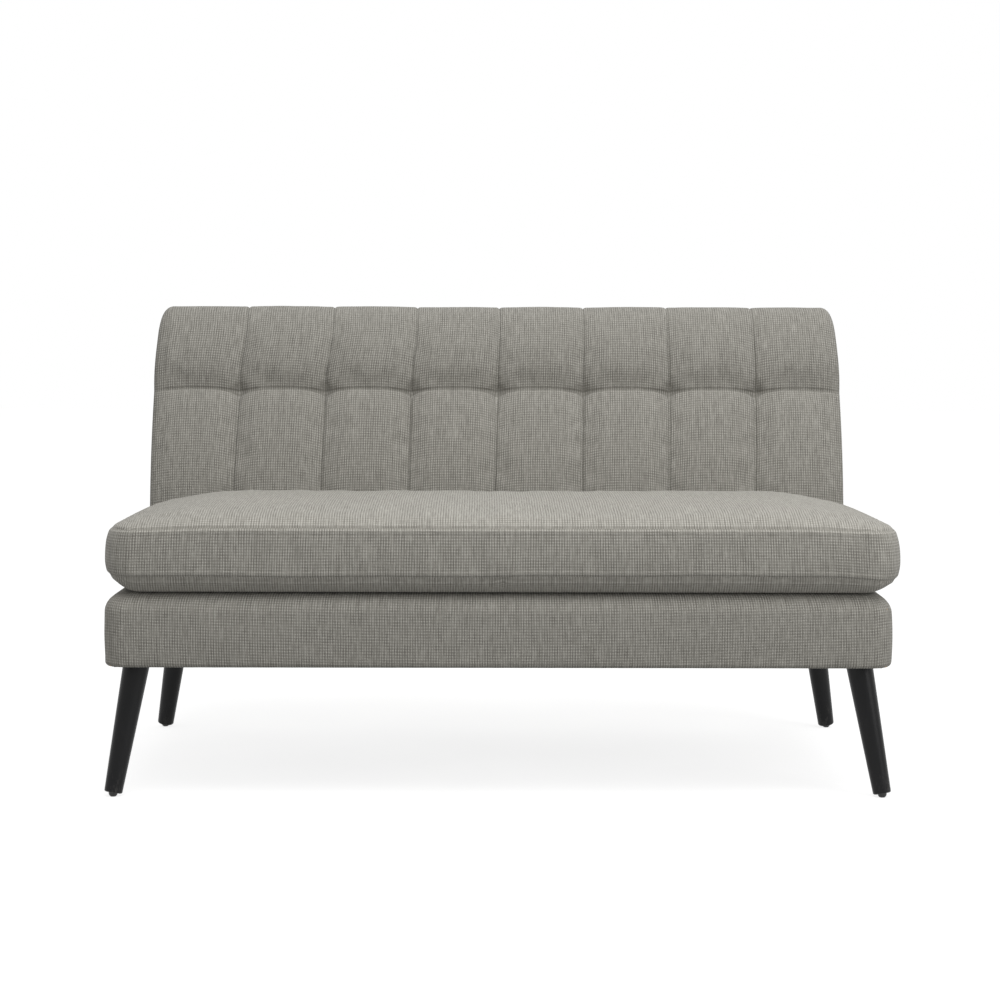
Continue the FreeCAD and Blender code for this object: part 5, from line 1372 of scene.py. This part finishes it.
class SOFA_OT_cushion(bpy.types.Operator):
    """Fill the bench cushion and sew its three panels"""
    bl_idname = "sofa.cushion"
    bl_label = "Bench cushion"

    def execute(self, context):
        form = CushionForm(context.scene.sofa_cushion)
        walk = walked(form.lower)
        top = self.sewn_top(form)
        band, along, level = self.sewn_band(form, walk)
        low, free = self.sewn_bottom(form)
        self.sew(form, top, band[0])
        self.sew(form, low, band[-1])
        aside = np.array([form.cushion.aside, 0.0, 0.0])
        top, low, band = top + aside, low + aside, band + aside
        self.panel("cushion_top", top, top[..., :2], False, "seat_cushion_top_panel", "seat_cushion_wrap")
        band_uv = np.stack(np.broadcast_arrays(along, -level * BAND_HEIGHT), -1)
        self.band_piece(band, band_uv, walk)
        low_uv = np.stack([low[..., 0], low[..., 1] - 0.02 * free], -1)
        self.panel("cushion_bottom", low, low_uv, True, "seat_cushion_bottom_panel")
        return {"FINISHED"}

    def sewn_top(self, form):
        """Top panel with its uneven fill, its sewn edge and the gathers beside it."""
        top, near, to_end = form.top_panel()
        moved = self.settle(form.cushion, top) * 0.6
        x, y = top[..., 0], top[..., 1]
        border = np.minimum(near, to_end)
        inner = smoothstep(border, 0.0, 0.05)
        uneven = lattice_noise(61, x, y, 0.16, 0.13) * 0.0016 + lattice_noise(63, x, y, 0.06, 0.05) * 0.0005
        gather = seam_pucker(near, x, 65) + seam_pucker(to_end, y, 67) * (near > 0.03)
        lift = uneven * inner + gather + welt(border)
        return top + moved * inner[..., None] + lattice_normals(top) * lift[..., None]

    def sewn_band(self, form, walk):
        """Band with its seams and gathers, plainer along the zip; then its length and level."""
        band, level = form.band()
        along = np.broadcast_to(walk, band.shape[:2])
        moved = self.settle(form.cushion, band, True) * 0.22
        from_seam = np.minimum(level, 1 - level) * BAND_HEIGHT
        outward = lattice_normals(band, closed=True, flip=True)
        puff = lattice_noise(71, along, level * BAND_HEIGHT, 0.11, 0.05) * 0.0010 * np.sin(math.pi * level)
        zipped = outward[..., 1] > 0.5
        gather = seam_pucker(from_seam, along, 73)
        seam = welt(from_seam) * (1 - 0.5 * np.abs(outward[..., 0]))
        shift = np.where(zipped, 0.4, 1.0) * (puff + gather) + seam
        band = band + moved * np.where(zipped, 0.0, 1.0)[..., None] + outward * shift[..., None]
        return band, along, level

    def sewn_bottom(self, form):
        """Bottom panel, joined in the middle, and how freely each point of it hangs."""
        low, near, to_end = form.bottom_panel()
        x = low[..., 0]
        border = np.minimum(near, to_end)
        free = smoothstep(border, 0.032, 0.0)
        joint = np.exp(-((x / 0.0022) ** 2)) * 0.0018 + np.exp(-((x / 0.014) ** 2)) * 0.0012
        shift = seam_pucker(near, x, 77) * free - joint * free + welt(border) * free
        return low + lattice_normals(low, flip=True) * shift[..., None], free

    def settle(self, cushion, points, closed=False):
        """Cloth between sewn seams: its unevenness is kept and its broad rise is let go."""
        coarse = points[::2, ::3]
        if (points.shape[0] - 1) % 2:
            coarse = np.concatenate([coarse, points[-1:, ::3]])
        pinned = np.zeros(coarse.shape[:2], dtype=bool)
        pinned[[0, -1]] = True
        if not closed:
            pinned[:, [0, -1]] = True
        faces = lattice_faces(*coarse.shape[:2], closed=closed, flip=closed)
        moved = relax(coarse, faces, pinned, cushion.slack, 1.5, 14, 0.022)
        smooth = blurred(moved, 10, closed)
        kept = moved - smooth * 0.8
        length = np.linalg.norm(kept, axis=-1, keepdims=True)
        kept = kept * np.minimum(1.0, 0.004 / np.maximum(length, 1e-9))
        if closed:
            kept = np.concatenate([kept, kept[:, :1]], axis=1)
        return resampled(kept, np.arange(points.shape[0]) / 2, np.arange(points.shape[1]) / 3)

    def sew(self, form, panel, edge):
        """Lay a panel's edge on the band's edge."""
        a, d = form.along, form.deep
        panel[0] = edge[: a + 1]
        panel[:, -1] = edge[a : a + d + 1]
        panel[-1] = edge[a + d : 2 * a + d + 1][::-1]
        panel[:, 0] = np.concatenate([edge[2 * a + d :], edge[:1]])[::-1]

    def panel(self, name, points, uv, flip, *nodes):
        """Make the top or bottom panel and hide the nodes that it stands for."""
        faces = lattice_faces(*points.shape[:2], flip=flip)
        piece = make_piece(name, points, faces, uv, "Cushion linen", "seat_cushion")
        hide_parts(*nodes)

    def band_piece(self, band, uv, walk):
        """Make the band as one closed ring."""
        last_step = 0.006
        closing, uv = close_ring(band, uv, walk[-1] + last_step)
        faces = lattice_faces(*closing.shape[:2], flip=True)
        piece = make_piece("cushion_band", closing, faces, uv, "Cushion linen", "seat_cushion")
        weld(piece)
        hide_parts("seat_cushion_band")


# The studio

FLOOR_TONE = (0.34, 0.34, 0.34, 1)


class SOFA_OT_studio(bpy.types.Operator):
    """Place the camera, the pale floor and the soft light"""
    bl_idname = "sofa.studio"
    bl_label = "Studio"

    def execute(self, context):
        studio = context.scene.sofa_studio
        self.camera(context.scene, studio)
        self.floor()
        self.world(context.scene, studio)
        self.lamp("overhead_light", (0.40, -1.15, 3.2), (0.0, 0.05, 0.45), 3.4, 2.2, studio.key_power)
        self.lamp("side_light", (3.0, -2.4, 1.6), (0.0, 0.0, 0.5), 1.8, 1.8, studio.side_power)
        context.scene.view_settings.view_transform = "Standard"
        return {"FINISHED"}

    def camera(self, scene, studio):
        """The photograph's viewpoint: a little downwards, and turned by angles in radians."""
        data = bpy.data.cameras.new("studio_camera")
        data.lens = studio.lens
        data.sensor_width = 36
        data.sensor_fit = "HORIZONTAL"
        camera = bpy.data.objects.new("studio_camera", data)
        camera.location = studio.camera_place
        pitch, yaw, roll = 0.0810, 0.0066, 0.0026
        look = Euler((math.pi / 2 - pitch, 0.0, -yaw), "XYZ").to_matrix()
        camera.rotation_euler = (look @ Euler((0.0, 0.0, roll), "XYZ").to_matrix()).to_euler()
        scene.collection.objects.link(camera)
        scene.camera = camera

    def floor(self):
        """A wide pale floor that shows its soft shadow, and sends back only a little light."""
        points = [(-9, -7, 0), (9, -7, 0), (9, 14, 0), (-9, 14, 0)]
        mesh = bpy.data.meshes.new("floor")
        mesh.from_pydata(points, [], [(0, 1, 2, 3)])
        floor = bpy.data.objects.new("floor", mesh)
        bpy.context.scene.collection.objects.link(floor)
        material = bpy.data.materials.new("Pale floor")
        material.use_nodes = True
        nodes, links = material.node_tree.nodes, material.node_tree.links
        nodes.remove(nodes["Principled BSDF"])
        output = nodes["Material Output"]
        seen = self.seen_rays(nodes, links)
        place = nodes.new("ShaderNodeTexCoord").outputs["Object"]
        marks = nodes.new("ShaderNodeTexNoise")
        marks.inputs["Scale"].default_value = 2.6
        marks.inputs["Detail"].default_value = 5
        links.new(place, marks.inputs["Vector"])
        tint = nodes.new("ShaderNodeMapRange")
        tint.inputs["From Min"].default_value = 0.35
        tint.inputs["From Max"].default_value = 0.7
        tint.inputs["To Min"].default_value = 0.83
        tint.inputs["To Max"].default_value = 0.85
        links.new(marks.outputs[0], tint.inputs["Value"])
        glow = nodes.new("ShaderNodeEmission")
        links.new(tint.outputs[0], glow.inputs["Strength"])
        shaded = nodes.new("ShaderNodeBsdfDiffuse")
        shaded.inputs["Color"].default_value = FLOOR_TONE
        seen_floor = nodes.new("ShaderNodeAddShader")
        links.new(glow.outputs[0], seen_floor.inputs[0])
        links.new(shaded.outputs[0], seen_floor.inputs[1])
        bounce = nodes.new("ShaderNodeBsdfDiffuse")
        bounce.inputs["Color"].default_value = FLOOR_TONE
        pick = nodes.new("ShaderNodeMixShader")
        links.new(seen, pick.inputs[0])
        links.new(bounce.outputs[0], pick.inputs[1])
        links.new(seen_floor.outputs[0], pick.inputs[2])
        links.new(pick.outputs[0], output.inputs["Surface"])
        mesh.materials.append(material)

    def seen_rays(self, nodes, links):
        """1 for rays from the camera, in reflections and through glass."""
        path = nodes.new("ShaderNodeLightPath").outputs
        first = nodes.new("ShaderNodeMath")
        first.operation = "MAXIMUM"
        links.new(path["Is Camera Ray"], first.inputs[0])
        links.new(path["Is Glossy Ray"], first.inputs[1])
        second = nodes.new("ShaderNodeMath")
        second.operation = "MAXIMUM"
        links.new(first.outputs[0], second.inputs[0])
        links.new(path["Is Transmission Ray"], second.inputs[1])
        return second.outputs[0]

    def world(self, scene, studio):
        """Even light from all round, which is seen as white."""
        world = bpy.data.worlds.new("studio_room")
        scene.world = world
        world.use_nodes = True
        nodes, links = world.node_tree.nodes, world.node_tree.links
        room = nodes["Background"]
        room.inputs["Color"].default_value = (1.0, 0.995, 0.985, 1)
        room.inputs["Strength"].default_value = studio.sky
        white = nodes.new("ShaderNodeBackground")
        white.inputs["Color"].default_value = (1, 1, 1, 1)
        white.inputs["Strength"].default_value = 1.0
        pick = nodes.new("ShaderNodeMixShader")
        links.new(self.seen_rays(nodes, links), pick.inputs[0])
        links.new(room.outputs[0], pick.inputs[1])
        links.new(white.outputs[0], pick.inputs[2])
        links.new(pick.outputs[0], nodes["World Output"].inputs["Surface"])

    def lamp(self, name, place, target, wide, deep, power):
        """A rectangular lamp that points at a target."""
        data = bpy.data.lights.new(name, "AREA")
        data.shape = "RECTANGLE"
        data.size = wide
        data.size_y = deep
        data.energy = power
        lamp = bpy.data.objects.new(name, data)
        lamp.location = place
        lamp.rotation_euler = (Vector(target) - Vector(place)).to_track_quat("-Z", "Y").to_euler()
        bpy.context.scene.collection.objects.link(lamp)


class SOFA_PT_panel(bpy.types.Panel):
    """Lists the pieces of the sofa and the sizes behind them"""
    bl_label = "Tufted armless sofa"
    bl_idname = "SOFA_PT_panel"
    bl_space_type = "VIEW_3D"
    bl_region_type = "UI"
    bl_category = "Sofa"

    def draw(self, context):
        layout = self.layout
        for operator in OPERATORS:
            layout.operator(operator.bl_idname)
        for label, settings in SETTINGS.items():
            box = layout.box()
            held = getattr(context.scene, label)
            for name in settings.__annotations__:
                box.prop(held, name)


SETTINGS = {
    "sofa_linen": LinenSettings,
    "sofa_back": BackSettings,
    "sofa_cushion": CushionSettings,
    "sofa_base": BaseSettings,
    "sofa_studio": StudioSettings,
}
OPERATORS = [
    SOFA_OT_studio,
    SOFA_OT_finishes,
    SOFA_OT_back_quilt,
    SOFA_OT_back_sides,
    SOFA_OT_back_rear,
    SOFA_OT_base_cover,
    SOFA_OT_deck,
    SOFA_OT_dust_cover,
    SOFA_OT_cushion,
]


def register():
    for label, settings in SETTINGS.items():
        bpy.utils.register_class(settings)
        setattr(bpy.types.Scene, label, PointerProperty(type=settings))
    for operator in OPERATORS:
        bpy.utils.register_class(operator)
    bpy.utils.register_class(SOFA_PT_panel)


def unregister():
    bpy.utils.unregister_class(SOFA_PT_panel)
    for operator in reversed(OPERATORS):
        bpy.utils.unregister_class(operator)
    for label, settings in SETTINGS.items():
        delattr(bpy.types.Scene, label)
        bpy.utils.unregister_class(settings)


def main():
    register()
    for operator in OPERATORS:
        family, name = operator.bl_idname.split(".")
        getattr(getattr(bpy.ops, family), name)()


if __name__ == "__main__":
    main()
